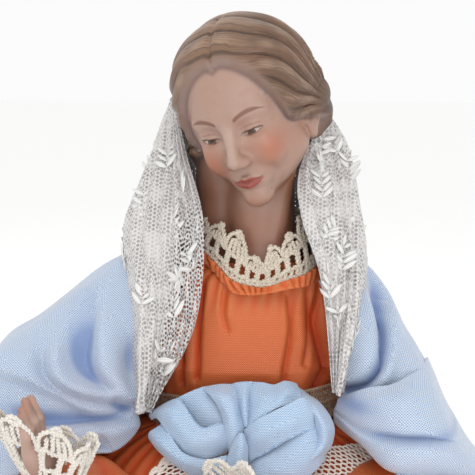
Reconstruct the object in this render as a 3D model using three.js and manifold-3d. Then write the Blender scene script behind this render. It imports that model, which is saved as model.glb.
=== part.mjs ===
// A kneeling crib figure of a woman with a terracotta head and hands, dressed in real cloth, on a low base.
// Millimetres, +Z up. The figure faces -Y, its own left is +X, and the origin is the middle of the base's
// underside.
import * as THREE from 'three';
import { mergeVertices } from 'three/addons/utils/BufferGeometryUtils.js';
import Module from 'manifold-3d';

const wasm = await Module();
wasm.setup();

// Heights above the ground
const BASE_HEIGHT = 12;
const WAIST_Z = 96;
const NECKLINE_Z = 129.5;
const SHOULDER_Z = 131;
const HEAD_Z = 175.6;

// Half widths (X) and half depths (Y) of the rounded sections
const BASE_HALF = [92, 80];
const HEM_HALF = [78, 65];
const WAIST_HALF = [24, 18];
const CHEST_HALF = [25, 18.5];
const BELT_HALF = [27, 21];
const BELT_WIDTH = 8.5;
const SKIRT_TOP_Z = WAIST_Z - 5.5;
const SKIRT_FORWARD = 10;

// Cloth: a worked sheet is drawn a little thicker than it is
const GAP = 0.35;
const MANTLE_THICK = 1.6;
const VEIL_THICK = 1;
const LACE_THICK = 1.2;

// The head leans and turns towards the figure's right; its forms below are drawn at full size and scaled
const HEAD_CENTRE = [1.4, -9.5, HEAD_Z];
const HEAD_SCALE = 0.9;
const HEAD_YAW = -19;
const HEAD_ROLL = -15;
const HEAD_BOW = 20;
const NECK_X = 4.5;

// The arms: wrist and middle of the palm; the sleeve from shoulder to mouth with a radius at each point; the
// cuff's foot, its rim, the way the rim faces, the foot's radius and the rim's half width and half depth
const ARMS = {
  right: {
    wrist: [-43, -49, 82],
    palm: [-46, -55, 93],
    sleeve: [[-22, 1, 124], [-49, -11, 97], [-48, -27, 85], [-37, -43, 78]],
    radii: [9, 10.5, 10, 11.5],
    cuff: { foot: [-44, -49.5, 84], rim: [-46, -54, 101], facing: [0.3, 0.12, 0.92], sizes: [6.8, 15, 6.5] },
  },
  left: {
    wrist: [5, -50, 75],
    palm: [-6, -61, 80],
    sleeve: [[22, 1, 121], [43, -14, 82], [32, -29, 73.5], [8, -49, 74]],
    radii: [9, 10, 9, 9.5],
    cuff: { foot: [5.7, -49.3, 74.7], rim: [-1, -56, 78], facing: [-0.67, -0.67, 0.31], sizes: [6.5, 14, 14] },
  },
};

// Guide lines of the mantle from its front edge to the middle of the back: neck, shoulder, elbow and hem
const MANTLE_RIGHT = [
  [[-16, -13, 134], [-23, -20, 121], [-25, -23, 108], [-25, -22, 96]],
  [[-17, -9, 136.5], [-33, -16, 124], [-42, -28, 109], [-30, -29, 87.5]],
  [[-17, -4, 138], [-38, -9, 129], [-60, -26, 107], [-41, -38, 88]],
  [[-16, 0, 139], [-41, 1, 129], [-72, -14, 97], [-68, -46, 74]],
  [[-13, 4, 139.5], [-36, 11, 127.5], [-71, 8, 88], [-85, -8, 22]],
  [[-8, 7, 140], [-21, 19, 126], [-44, 36, 84], [-54, 54, 13.4]],
];
const MANTLE_BACK = [[1, 9, 140], [0, 23, 127], [0, 43, 84], [0, 68, 13.4]];
const MANTLE_LEFT = [
  [[9, 7, 140], [21, 19, 127], [44, 36, 84], [54, 54, 13.4]],
  [[15, 4, 138.5], [34, 7, 129.5], [46, 7, 101], [76, -8, 22]],
  [[18, 0, 137], [35.5, 1, 125], [48, -8, 98], [60, -38, 74]],
  [[19, -4, 135], [36, -8, 124], [54, -24, 99], [44, -40, 82]],
  [[20, -8, 133], [33, -15, 121], [40, -26, 107], [31, -25, 94]],
  [[20, -12, 131], [26, -20, 119], [28, -23, 108], [26, -22, 97]],
];

// Guide lines of the veil from its front edge to the middle of the back: head, cheek, collar, chest and end
const VEIL_RIGHT = [
  [[-19.9, 6, 175.9], [-15, -6, 161.1], [-9.5, -17, 144.8], [-10.9, -24, 119.6], [-22.3, -27, 97]],
  [[-20.5, 8, 176], [-19.2, -4, 161], [-18.8, -16, 144.1], [-18.3, -25, 120.3], [-24, -28, 97.5]],
  [[-21, 10, 176.2], [-25.5, 3, 160.3], [-30.4, -8, 141.8], [-26.8, -21, 122.1], [-25.7, -27, 97.7]],
  [[-12, 16, 183], [-22, 17, 163], [-29.5, 14, 141], [-33, 25, 120], [-35, 35, 100]],
];
const VEIL_BACK = [[2, 18, 185], [1, 23, 166], [0, 24, 143], [0, 34, 120], [0, 43, 98]];
const VEIL_LEFT = [
  [[14, 15, 182], [21, 16, 161], [28.5, 15, 138], [29, 26, 118], [31, 35, 99]],
  [[21.8, 8, 173.3], [27.8, 2, 160.9], [31.2, -8, 140.4], [30.6, -20, 121], [26.9, -27, 103]],
  [[21.7, 5, 172.4], [22.9, -3, 159.9], [25.9, -13, 143.7], [27.1, -22, 126.2], [25.9, -28, 103.2]],
  [[21.1, 1, 171.3], [15.2, -8, 158.2], [16.2, -17, 147.5], [21.7, -22, 130.1], [24.8, -28, 103.2]],
];

// The collar's foot and top, round the neck from the figure's right over the front
const COLLAR_FOOT = [
  [-12.3, -4, 137.1], [-10.4, -9, 136], [-5.9, -14, 132.8], [-1.6, -17.5, 128.7], [2.9, -19, 127.8],
  [7.4, -19.5, 128.1], [12, -19, 129.4], [16.3, -16.5, 130.1], [19.2, -12, 131.3], [21.3, -6, 133.6],
  [20.5, 2, 136], [14, 9, 138], [4, 11, 139], [-6, 8.5, 138.5], [-11.5, 2.5, 137.8],
];
const COLLAR_TOP = [
  [-9.5, -3, 145.2], [-8.2, -7.5, 145.6], [-4.6, -11.6, 145], [-0.6, -14, 142.2], [2.9, -15.8, 138],
  [6.4, -16.5, 136.2], [9, -15.8, 139.5], [12, -13.8, 143.2], [15.2, -9.5, 146], [17.4, -3, 145],
  [16.8, 3, 145], [11.5, 8, 147], [4, 9.5, 148], [-4, 7.5, 147.5], [-8.5, 2.5, 146.5],
];

const degrees = THREE.MathUtils.degToRad;
const vec = ([x, y, z]) => new THREE.Vector3(x, y, z);

// A closed geometry as a solid, turned the right way round
function solidOf(geometry) {
  geometry.deleteAttribute('normal');
  geometry.deleteAttribute('uv');
  const merged = mergeVertices(geometry, 1e-4);
  const vertProperties = new Float32Array(merged.attributes.position.array);
  const triVerts = new Uint32Array(merged.index.array);
  const solid = new wasm.Manifold(new wasm.Mesh({ numProp: 3, vertProperties, triVerts }));
  if (solid.volume() > 0) {
    return solid;
  }
  for (let i = 0; i < triVerts.length; i += 3) {
    [triVerts[i + 1], triVerts[i + 2]] = [triVerts[i + 2], triVerts[i + 1]];
  }
  return new wasm.Manifold(new wasm.Mesh({ numProp: 3, vertProperties, triVerts }));
}

function solidFrom(points, faces) {
  const geometry = new THREE.BufferGeometry().setFromPoints(points);
  geometry.setIndex(faces);
  return solidOf(geometry);
}

function join(solids) {
  return solids.reduce((all, solid) => all.add(solid));
}

// Cuts the neighbours away and keeps the one body that is left
function clear(solid, ...neighbours) {
  const left = neighbours.reduce((rest, other) => rest.subtract(other), solid);
  return left.decompose().reduce((best, body) => (body.volume() > best.volume() ? body : best));
}

function ellipsoid(centre, half, grow = 0, turn = new THREE.Matrix4(), around = 16, high = 10) {
  const ball = new THREE.SphereGeometry(1, around, high);
  ball.scale(half[0] + grow, half[1] + grow, half[2] + grow);
  ball.applyMatrix4(turn);
  ball.translate(...centre);
  return solidOf(ball);
}

// A rounded limb from one point to another, with its own radius at each end
function limb(from, to, startRadius, endRadius, grow = 0, sides = 10) {
  const start = vec(from);
  const axis = vec(to).sub(start);
  const length = axis.length();
  const profile = [];
  for (const [radius, middle, first] of [[startRadius, 0, -90], [endRadius, length, 0]]) {
    for (let step = 0; step <= 2; step += 1) {
      const angle = degrees(first + step * 45);
      const around = radius + grow;
      profile.push(new THREE.Vector2(around * Math.cos(angle), middle + around * Math.sin(angle)));
    }
  }
  profile[0].x = 0;
  profile[profile.length - 1].x = 0;
  const geometry = new THREE.LatheGeometry(profile, sides);
  const turn = new THREE.Quaternion().setFromUnitVectors(new THREE.Vector3(0, 1, 0), axis.normalize());
  geometry.applyQuaternion(turn);
  geometry.translate(start.x, start.y, start.z);
  return solidOf(geometry);
}

// Closed rings stacked into a body, with a point in the middle of each end
function stack(rings) {
  const around = rings[0].length;
  const points = rings.flat();
  const faces = [];
  for (let ring = 0; ring < rings.length - 1; ring += 1) {
    for (let i = 0; i < around; i += 1) {
      const next = (i + 1) % around;
      const [a, b] = [ring * around + i, ring * around + next];
      faces.push(a, b, b + around, a, b + around, a + around);
    }
  }
  for (const [ring, flip] of [[0, true], [rings.length - 1, false]]) {
    const middle = new THREE.Vector3();
    rings[ring].forEach((point) => middle.addScaledVector(point, 1 / around));
    points.push(middle);
    for (let i = 0; i < around; i += 1) {
      const [a, b] = [ring * around + i, ring * around + (i + 1) % around];
      faces.push(...(flip ? [b, a, points.length - 1] : [a, b, points.length - 1]));
    }
  }
  return solidFrom(points, faces);
}

// A sheet with a thickness over a surface(u, v), open or closed round u
function sheet(surface, columns, rows, thickness, closed = false) {
  const step = 1e-3;
  const points = [];
  const count = closed ? columns : columns + 1;
  for (const side of [0.5, -0.5]) {
    for (let j = 0; j <= rows; j += 1) {
      for (let i = 0; i < count; i += 1) {
        const [u, v] = [i / columns, j / rows];
        const [u0, u1] = closed ? [u - step, u + step] : [Math.max(u - step, 0), Math.min(u + step, 1)];
        const along = surface(u1, v).sub(surface(u0, v));
        const down = surface(u, Math.min(v + step, 1)).sub(surface(u, Math.max(v - step, 0)));
        const normal = along.cross(down).normalize();
        points.push(surface(u, v).addScaledVector(normal, side * thickness));
      }
    }
  }
  const at = (side, i, j) => side * count * (rows + 1) + j * count + (i % count);
  const faces = [];
  const quad = (a, b, c, d) => faces.push(a, b, c, a, c, d);
  for (let i = 0; i < columns; i += 1) {
    for (let j = 0; j < rows; j += 1) {
      quad(at(0, i, j), at(0, i + 1, j), at(0, i + 1, j + 1), at(0, i, j + 1));
      quad(at(1, i, j), at(1, i, j + 1), at(1, i + 1, j + 1), at(1, i + 1, j));
    }
    quad(at(0, i, 0), at(1, i, 0), at(1, i + 1, 0), at(0, i + 1, 0));
    quad(at(0, i, rows), at(0, i + 1, rows), at(1, i + 1, rows), at(1, i, rows));
  }
  for (let j = 0; !closed && j < rows; j += 1) {
    quad(at(0, 0, j), at(0, 0, j + 1), at(1, 0, j + 1), at(1, 0, j));
    quad(at(0, columns, j), at(1, columns, j), at(1, columns, j + 1), at(0, columns, j + 1));
  }
  return solidFrom(points, faces);
}

// The surface that passes through a fan of guide lines, with soft folds of a given depth across it
function guided(guides, foldDepth, foldCount) {
  const lines = guides.map((guide) => new THREE.CatmullRomCurve3(guide.map(vec), false, 'catmullrom', 0.5));
  return (u, v) => {
    const across = new THREE.CatmullRomCurve3(lines.map((line) => line.getPoint(v)), false, 'catmullrom', 0.5);
    const point = across.getPoint(u);
    const outwards = new THREE.Vector3(point.x, point.y, 0).normalize();
    const fold = foldDepth * v * Math.sin(u * foldCount * Math.PI * 2);
    return point.addScaledVector(outwards, fold);
  };
}

// Low oval base with a chamfered top edge
function makeBase() {
  const [width, depth] = BASE_HALF;
  const chamfer = 2 / width;
  const top = BASE_HEIGHT;
  const profile = [[0, 0], [1 - chamfer, 0], [1, 2], [1, top - 2], [1 - chamfer, top], [0, top]];
  const geometry = new THREE.LatheGeometry(profile.map(([x, y]) => new THREE.Vector2(x, y)), 36);
  geometry.rotateX(Math.PI / 2);
  geometry.scale(width, depth, 1);
  return solidOf(geometry);
}

// Half sizes and middle of the skirt's section at a height
function skirtSection(height) {
  const foot = BASE_HEIGHT + GAP;
  const share = THREE.MathUtils.clamp((height - foot) / (SKIRT_TOP_Z - foot), 0, 1);
  const sideSwell = (1 - share ** 2.2) ** 0.55;
  const frontSwell = (1 - share ** 1.6) ** 0.8;
  return {
    halfX: WAIST_HALF[0] + (HEM_HALF[0] - WAIST_HALF[0]) * sideSwell,
    halfY: WAIST_HALF[1] + (HEM_HALF[1] - WAIST_HALF[1]) * frontSwell,
    middleY: -SKIRT_FORWARD * frontSwell,
    fold: 1.8 * frontSwell,
  };
}

// A point on the skirt at an angle from its front, with gathers that run down from the waist
function skirtPoint(angle, height, grow = 0) {
  const { halfX, halfY, middleY, fold } = skirtSection(height);
  const out = grow + fold * Math.sin(angle * 11);
  const y = middleY - (halfY + out) * Math.cos(angle);
  return new THREE.Vector3((halfX + out) * Math.sin(angle), y, height);
}

function makeSkirt(grow = 0) {
  const heights = [BASE_HEIGHT + GAP, 34, 56, 72, 83, SKIRT_TOP_Z];
  const around = 40;
  return stack(heights.map((height) => Array.from({ length: around }, (_, i) => (
    skirtPoint((i / around) * Math.PI * 2, height, grow)
  ))));
}

// The bodice pouches over the belt and narrows to the shoulders; its neck stays open round the collar
function makeBodice(grow = 0) {
  const sections = [
    [SKIRT_TOP_Z + GAP, WAIST_HALF[0], WAIST_HALF[1], 0],
    [WAIST_Z + 5, WAIST_HALF[0] + 0.5, WAIST_HALF[1] + 0.5, 0],
    [WAIST_Z + 10, CHEST_HALF[0] + 1.5, CHEST_HALF[1] + 1, 0],
    [WAIST_Z + 24, CHEST_HALF[0] + 1, CHEST_HALF[1] - 0.5, 0.5],
    [NECKLINE_Z, CHEST_HALF[0], CHEST_HALF[1] - 3, 2],
    [SHOULDER_Z + 3, CHEST_HALF[0] - 7, CHEST_HALF[1] - 7, 3],
  ];
  const around = 22;
  return stack(sections.map(([height, halfX, halfY, forward]) => Array.from({ length: around }, (_, i) => {
    const angle = (i / around) * Math.PI * 2;
    const out = grow + 0.5 * Math.sin(angle * 7);
    const x = (halfX + out) * Math.sin(angle) + forward * 0.8;
    return new THREE.Vector3(x, -(halfY + out) * Math.cos(angle) - forward * 0.3, height);
  })));
}

// One terracotta piece: hair, face, neck and the plate of the upper chest
function makeHead(grow = 0) {
  const euler = new THREE.Euler(degrees(HEAD_BOW), degrees(HEAD_ROLL), degrees(HEAD_YAW), 'ZYX');
  const turn = new THREE.Matrix4().makeRotationFromEuler(euler);
  const placed = (centre) => {
    const point = vec(centre).multiplyScalar(HEAD_SCALE).applyMatrix4(turn);
    return point.add(vec(HEAD_CENTRE)).toArray();
  };
  const part = (centre, half, around, high) => (
    ellipsoid(placed(centre), half.map((size) => size * HEAD_SCALE), grow, turn, around, high)
  );
  return join([
    part([0, 3, 4], [20.5, 22, 22], 16, 10),
    part([0, -5, -6], [15, 16.5, 20], 14, 9),
    part([-15.5, 3, -11], [6, 8.5, 13], 8, 6),
    part([14, 4, -5], [6.5, 9.5, 12], 8, 6),
    part([0, -21, -7], [2.6, 4.5, 5.5], 6, 4),
    part([0, 19, -6], [11, 8, 10], 10, 6),
    limb([NECK_X, -3, 130], placed([0, 4, -14]), 9, 8.5, grow, 10),
    limb([NECK_X - 9.8, 1.5, 130], [NECK_X - 7.3, 1.5, 158], 7.6, 7, grow, 6),
    ellipsoid([NECK_X, -2, NECKLINE_Z - 1], [16, 12.5, 7], grow, new THREE.Matrix4(), 12, 6),
  ]);
}

// A wide sleeve from the shoulder over the elbow to a flared mouth at the wrist
function makeSleeve(arm, grow = 0) {
  const { sleeve, radii } = arm;
  return join(sleeve.slice(1).map((end, i) => limb(sleeve[i], end, radii[i], radii[i + 1], grow, 7)));
}

// A terracotta hand: wrist, palm, four fingers together and the thumb above
function makeHand(arm, side, grow = 0) {
  const wrist = vec(arm.wrist);
  const palm = vec(arm.palm);
  const along = palm.clone().sub(wrist).normalize();
  const up = new THREE.Vector3(0, 0, 1).addScaledVector(along, -along.z).normalize();
  const inwards = along.clone().cross(up).multiplyScalar(side);
  const place = (forward, high, inner) => palm.clone()
    .addScaledVector(along, forward)
    .addScaledVector(up, high)
    .addScaledVector(inwards, inner)
    .toArray();
  const fingers = [3.4, 1.2, -1, -3].map((high, finger) => {
    const reach = 12 - Math.abs(finger - 1) * 1.2;
    return limb(place(2, high, 0), place(2 + reach, high * 0.9 + 2.2, 1.2), 1.9, 1.25, grow, 4);
  });
  const frame = new THREE.Matrix4().makeBasis(along, up, inwards);
  return join([
    limb(wrist.toArray(), place(-3, 0, 0), 4, 3.6, grow, 8),
    ellipsoid(palm.toArray(), [6.5, 5.2, 2.9], grow, frame, 8, 6),
    limb(place(-3, 3.5, 1), place(5.5, 8, 3), 1.9, 1.4, grow, 5),
    ...fingers,
  ]);
}

// Standing frill of crochet lace round the neckline, low in front and scalloped above
function makeCollar(grow = 0) {
  const [foot, top] = [COLLAR_FOOT, COLLAR_TOP].map((ring) => (
    new THREE.CatmullRomCurve3(ring.map(vec), true, 'catmullrom', 0.5)
  ));
  const surface = (u, v) => {
    const share = ((u % 1) + 1) % 1;
    const low = foot.getPoint(share);
    const outwards = new THREE.Vector3(low.x - NECK_X, low.y + 3, 0).normalize();
    return low.lerp(top.getPoint(share), v).addScaledVector(outwards, 1.2 * Math.sin(v * Math.PI));
  };
  return sheet(surface, 24, 2, LACE_THICK + 2 * grow, true);
}

// Wide frill of lace at the mouth of a sleeve
function makeCuff(arm, grow = 0) {
  const { foot, rim, facing, sizes } = arm.cuff;
  const [footRadius, rimWidth, rimDepth] = sizes;
  const normal = vec(facing).normalize();
  const across = new THREE.Vector3(1, 0, 0).addScaledVector(normal, -normal.x).normalize();
  const through = normal.clone().cross(across);
  const surface = (u, v) => {
    const angle = u * Math.PI * 2;
    const ripple = 1 + 0.07 * v * Math.sin(angle * 8);
    const wide = THREE.MathUtils.lerp(footRadius, rimWidth, v) * ripple * Math.cos(angle);
    const deep = THREE.MathUtils.lerp(footRadius, rimDepth, v) * ripple * Math.sin(angle);
    return vec(foot).lerp(vec(rim), v).addScaledVector(across, wide).addScaledVector(through, deep);
  };
  return sheet(surface, 20, 2, LACE_THICK + 2 * grow, true);
}

// Openwork ribbon round the waist, a little lower on the figure's right
function makeBelt(grow = 0) {
  const surface = (u, v) => {
    const angle = u * Math.PI * 2;
    const tilt = 1.6 * Math.sin(angle);
    return new THREE.Vector3(
      (BELT_HALF[0] - 0.5 * v) * Math.sin(angle),
      -(BELT_HALF[1] - 0.5 * v) * Math.cos(angle),
      WAIST_Z - 0.5 - BELT_WIDTH / 2 + BELT_WIDTH * v + tilt,
    );
  };
  return sheet(surface, 20, 1, LACE_THICK + 2 * grow, true);
}

// Lace apron on the skirt, turned towards the figure's left, from the belt nearly to the hem
function makeApron() {
  const surface = (u, v) => {
    const height = SKIRT_TOP_Z - 3 - (SKIRT_TOP_Z - 3 - BASE_HEIGHT - 10) * v;
    const [middle, half] = [degrees(27 - 11 * v), degrees(50 + 12 * v)];
    return skirtPoint(middle + (u - 0.5) * 2 * half, height, 3.4);
  };
  return sheet(surface, 14, 5, LACE_THICK);
}

// Folded sash in front of the belt: an upper fan, a loop on each side and a folded end below
function makeSash(grow = 0) {
  const fold = (centre, half) => ellipsoid(centre, half, grow, new THREE.Matrix4(), 10, 6);
  return join([
    fold([1, -27.5, 100.5], [12.5, 6.5, 5.5]),
    fold([-10.5, -29, 96], [11.5, 7, 8.5]),
    fold([13, -29, 93.5], [12.5, 8, 12]),
    fold([3, -30.5, 86], [15, 6, 9]),
  ]);
}

function makeMantle(grow = 0) {
  const surface = guided([...MANTLE_RIGHT, MANTLE_BACK, ...MANTLE_LEFT], 1.6, 13);
  return sheet(surface, 25, 6, MANTLE_THICK + 2 * grow);
}

function makeVeil() {
  const surface = guided([...VEIL_RIGHT, VEIL_BACK, ...VEIL_LEFT], 0.7, 11);
  return sheet(surface, 19, 6, VEIL_THICK);
}

// A finished node: its geometry from the solid, and its own material
function node(name, solid, colour, roughness) {
  const { vertProperties, triVerts } = solid.getMesh();
  const geometry = new THREE.BufferGeometry();
  geometry.setAttribute('position', new THREE.BufferAttribute(vertProperties, 3));
  geometry.setIndex(new THREE.BufferAttribute(triVerts, 1));
  geometry.computeVertexNormals();
  const material = new THREE.MeshStandardMaterial({ color: colour, roughness, metalness: 0 });
  const mesh = new THREE.Mesh(geometry, material);
  mesh.name = name;
  return mesh;
}

const hands = { right: makeHand(ARMS.right, 1), left: makeHand(ARMS.left, -1) };
const handRoom = [makeHand(ARMS.right, 1, GAP), makeHand(ARMS.left, -1, GAP)];
const headRoom = makeHead(GAP);
const bodiceRoom = makeBodice(GAP);
const skirtRoom = makeSkirt(GAP);
const sleeveRoom = [makeSleeve(ARMS.right, GAP), makeSleeve(ARMS.left, GAP)];
const cuffRoom = [makeCuff(ARMS.right, GAP), makeCuff(ARMS.left, GAP)];
const collarRoom = makeCollar(GAP);
const beltRoom = makeBelt(GAP);
const sashRoom = makeSash(GAP);
const mantleRoom = makeMantle(GAP);

const bodice = clear(makeBodice(), headRoom);
const skirt = clear(makeSkirt(), bodiceRoom);
const sleeves = [ARMS.right, ARMS.left].map((arm) => (
  clear(makeSleeve(arm), bodiceRoom, skirtRoom, ...handRoom)
));
const arms = [...handRoom, ...sleeveRoom];
const collar = clear(makeCollar(), headRoom, bodiceRoom, ...arms);
const cuffs = [ARMS.right, ARMS.left].map((arm) => clear(makeCuff(arm), ...arms, skirtRoom));
const belt = clear(makeBelt(), bodiceRoom, skirtRoom, ...arms, ...cuffRoom);
const sash = clear(makeSash(), bodiceRoom, skirtRoom, beltRoom, belt, ...arms, ...cuffRoom, ...cuffs);
const apron = clear(makeApron(), skirtRoom, beltRoom, belt, sashRoom, ...arms, ...cuffRoom, ...cuffs);
const worn = [headRoom, bodiceRoom, skirtRoom, beltRoom, collarRoom, sashRoom, ...arms, ...cuffRoom];
const trim = [belt, collar, sash, apron, ...cuffs];
const mantle = clear(makeMantle(), ...worn, ...trim);
const veil = clear(makeVeil(), ...worn, ...trim, mantleRoom, mantle);

const figure = new THREE.Group();
figure.add(
  node('base', makeBase(), 0x5b3a22, 0.5),
  node('head_and_neck', makeHead(), 0xe2b8a0, 0.45),
  node('hand_right', hands.right, 0xcfa088, 0.5),
  node('hand_left', hands.left, 0xcfa088, 0.5),
  node('bodice', bodice, 0xe8794a, 0.6),
  node('skirt', skirt, 0xe8794a, 0.6),
  node('sleeve_right', sleeves[0], 0xe8794a, 0.6),
  node('sleeve_left', sleeves[1], 0xe8794a, 0.6),
  node('belt', belt, 0x8c7352, 0.8),
  node('sash', sash, 0xc3d9ee, 0.7),
  node('collar', collar, 0xe9dfca, 0.9),
  node('cuff_right', cuffs[0], 0xe9e2d2, 0.9),
  node('cuff_left', cuffs[1], 0xe9e2d2, 0.9),
  node('apron', apron, 0xe8dcc4, 0.9),
  node('mantle', mantle, 0xa9c6e8, 0.7),
  node('veil', veil, 0xf2f2f0, 0.8),
);

export default figure;
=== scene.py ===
"""A kneeling crib figure: painted terracotta head and hands, dressed in cloth, tulle and crochet lace."""

import math

import bmesh
import bpy
import numpy as np
from mathutils import Matrix, Vector


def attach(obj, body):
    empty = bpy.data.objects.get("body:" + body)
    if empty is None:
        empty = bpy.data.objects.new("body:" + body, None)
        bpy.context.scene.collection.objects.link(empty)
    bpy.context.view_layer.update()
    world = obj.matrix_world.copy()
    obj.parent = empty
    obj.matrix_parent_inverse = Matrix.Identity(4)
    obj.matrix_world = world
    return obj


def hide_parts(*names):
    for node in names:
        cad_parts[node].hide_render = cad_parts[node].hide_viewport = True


bl_info = {
    "name": "Dressed Crib Figure",
    "version": (1, 0, 0),
    "blender": (4, 5, 0),
    "location": "View3D > Sidebar > Crib Figure",
    "description": "Models a kneeling crib figure of painted terracotta, dressed in cloth, tulle and lace",
    "category": "Add Mesh",
}

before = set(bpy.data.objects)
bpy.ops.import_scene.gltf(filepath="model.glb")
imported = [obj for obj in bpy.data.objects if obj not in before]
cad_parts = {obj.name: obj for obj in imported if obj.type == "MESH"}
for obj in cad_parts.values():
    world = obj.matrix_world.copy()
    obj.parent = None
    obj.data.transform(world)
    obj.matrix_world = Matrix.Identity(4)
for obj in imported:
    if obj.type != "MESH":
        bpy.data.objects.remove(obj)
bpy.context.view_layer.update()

# Everything below is laid out in millimetres, as the part's source is, and scaled once when a mesh is made.
MM = 0.001
# Thickness of the dress and the sash, of the mantle and of the veil's net
CLOTH_THICK = 0.5
MANTLE_THICK = 0.6
NET_THICK = 0.22
# Size of the voxels from which the head and the hands are sculpted
HEAD_VOXEL = 0.44
HAND_VOXEL = 0.36

# The head: where it is, and its turn to the figure's right, lean and bow in degrees
HEAD_CENTRE = np.array([1.4, -9.5, 175.6])
HEAD_SCALE = 0.9
HEAD_TURNS = {"yaw": -19, "roll": -15, "bow": 20}
NECK_FOOT = np.array([4.5, -3.0, 126.0])
# The ends of the rod that fills the neck behind, and the middle of the chest's plate
NECK_BEHIND = np.array([(-5.2, 1.5, 158), (-6.8, 1.5, 130)])
CHEST = np.array([4.5, -2, 127.5])

# Wrist and palm of each arm
ARMS = {"right": ((-43, -49, 82), (-46, -55, 93)), "left": ((5, -50, 75), (-6, -61, 80))}

# Lines that the cloth follows from its upper to its lower edge, round the figure from the front on its right
MANTLE_LINES = (
    ((-16, -13, 134), (-23, -20, 121), (-25, -23, 108), (-25, -22, 96)),
    ((-17, -9, 136.5), (-33, -16, 124), (-42, -28, 109), (-30, -29, 87.5)),
    ((-17, -4, 138), (-38, -9, 129), (-60, -26, 107), (-41, -38, 88)),
    ((-16, 0, 139), (-41, 1, 129), (-72, -14, 97), (-68, -46, 74)),
    ((-13, 4, 139.5), (-36, 11, 127.5), (-71, 8, 88), (-85, -8, 22)),
    ((-8, 7, 140), (-21, 19, 126), (-44, 36, 84), (-54, 54, 13.4)),
    ((1, 9, 140), (0, 23, 127), (0, 43, 84), (0, 68, 13.4)),
    ((9, 7, 140), (21, 19, 127), (44, 36, 84), (54, 54, 13.4)),
    ((15, 4, 138.5), (34, 7, 129.5), (46, 7, 101), (76, -8, 22)),
    ((18, 0, 137), (35.5, 1, 125), (48, -8, 98), (60, -38, 74)),
    ((19, -4, 135), (36, -8, 124), (54, -24, 99), (44, -40, 82)),
    ((20, -8, 133), (33, -15, 121), (40, -26, 107), (31, -25, 94)),
    ((20, -12, 131), (26, -20, 119), (28, -23, 108), (26, -22, 97)),
)
VEIL_LINES = (
    ((-19.9, 6, 175.9), (-15, -6, 161.1), (-9.5, -17, 144.8), (-10.9, -24, 119.6), (-22.3, -27, 97)),
    ((-20.5, 8, 176), (-19.2, -4, 161), (-18.8, -16, 144.1), (-18.3, -25, 120.3), (-24, -28, 97.5)),
    ((-21, 10, 176.2), (-25.5, 3, 160.3), (-30.4, -8, 141.8), (-26.8, -21, 122.1), (-25.7, -27, 97.7)),
    ((-12, 16, 183), (-22, 17, 163), (-29.5, 14, 141), (-33, 25, 120), (-35, 35, 100)),
    ((2, 18, 185), (1, 23, 166), (0, 24, 143), (0, 34, 120), (0, 43, 98)),
    ((14, 15, 182), (21, 16, 161), (28.5, 15, 138), (29, 26, 118), (31, 35, 99)),
    ((21.8, 8, 173.3), (27.8, 2, 160.9), (31.2, -8, 140.4), (30.6, -20, 121), (26.9, -27, 103)),
    ((21.7, 5, 172.4), (22.9, -3, 159.9), (25.9, -13, 143.7), (27.1, -22, 126.2), (25.9, -28, 103.2)),
    ((21.1, 1, 171.3), (15.2, -8, 158.2), (16.2, -17, 147.5), (21.7, -22, 130.1), (24.8, -28, 103.2)),
)


def linear(code):
    """Linear red, green, blue and alpha of an sRGB hex colour."""
    channels = [int(code[start:start + 2], 16) / 255 for start in (1, 3, 5)]
    return tuple(c / 12.92 if c <= 0.04045 else ((c + 0.055) / 1.055) ** 2.4 for c in channels) + (1.0,)


def ramp(low, high, value):
    """0 below low, 1 above high, and a smooth rise between them."""
    share = np.clip((value - low) / (high - low), 0, 1)
    return share * share * (3 - 2 * share)


def noise(points, cell, seed=0):
    """Smooth noise from -1 to 1 at (..., 3) points, with bumps of about the cell's size."""
    scaled = np.asarray(points, float) / cell
    corner = np.floor(scaled).astype(np.int64)
    part = scaled - corner
    part = part * part * (3 - 2 * part)
    total = np.zeros(part.shape[:-1])
    for step in np.ndindex(2, 2, 2):
        at = corner + np.array(step)
        mixed = (at[..., 0] * 73856093) ^ (at[..., 1] * 19349663) ^ (at[..., 2] * 83492791) ^ (seed * 7919)
        mixed = (mixed ^ (mixed >> 13)) * 1274126177
        mixed = mixed ^ (mixed >> 16)
        weight = np.prod(np.where(np.array(step) == 1, part, 1 - part), axis=-1)
        total += weight * ((mixed & 0xFFFF) / 32767.5 - 1)
    return total


def unit(vectors):
    """The vectors at length 1."""
    length = np.linalg.norm(vectors, axis=-1, keepdims=True)
    return vectors / np.maximum(length, 1e-9)


def along_points(points, shares, closed=False):
    """Points at the shares, 0 to 1, of a smooth curve through points or rows of points."""
    points = np.asarray(points, float)
    count = len(points)
    spans = count if closed else count - 1
    place = np.clip(np.asarray(shares, float), 0, 1) * spans
    start = np.minimum(place.astype(int), spans - 1)
    part = (place - start).reshape((-1,) + (1,) * (points.ndim - 1))

    def pick(offset):
        index = start + offset
        if closed:
            return points[index % count]
        before = 2 * points[0] - points[1]
        after = 2 * points[-1] - points[-2]
        return np.concatenate([[before], points, [after]])[index + 1]

    a, b, c, d = pick(-1), pick(0), pick(1), pick(2)
    return 0.5 * (
        2 * b + (c - a) * part + (2 * a - 5 * b + 4 * c - d) * part ** 2 + (3 * b - a - 3 * c + d) * part ** 3
    )


def fine_grid(control, rows, columns):
    """A fine grid of points through rows of points, at shares from 0 to 1 of the way down and across."""
    fine = along_points(control, rows)
    return along_points(fine.transpose(1, 0, 2), columns).transpose(1, 0, 2)


def grid_normals(grid, wrap=False):
    """Unit normals of a grid of points, to the side of rows-direction cross columns-direction."""
    if wrap:
        wide = np.concatenate([grid[:, -1:], grid, grid[:, :1]], axis=1)
        across = (wide[:, 2:] - wide[:, :-2]) / 2
    else:
        across = np.gradient(grid, axis=1)
    return unit(np.cross(np.gradient(grid, axis=0), across))


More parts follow.
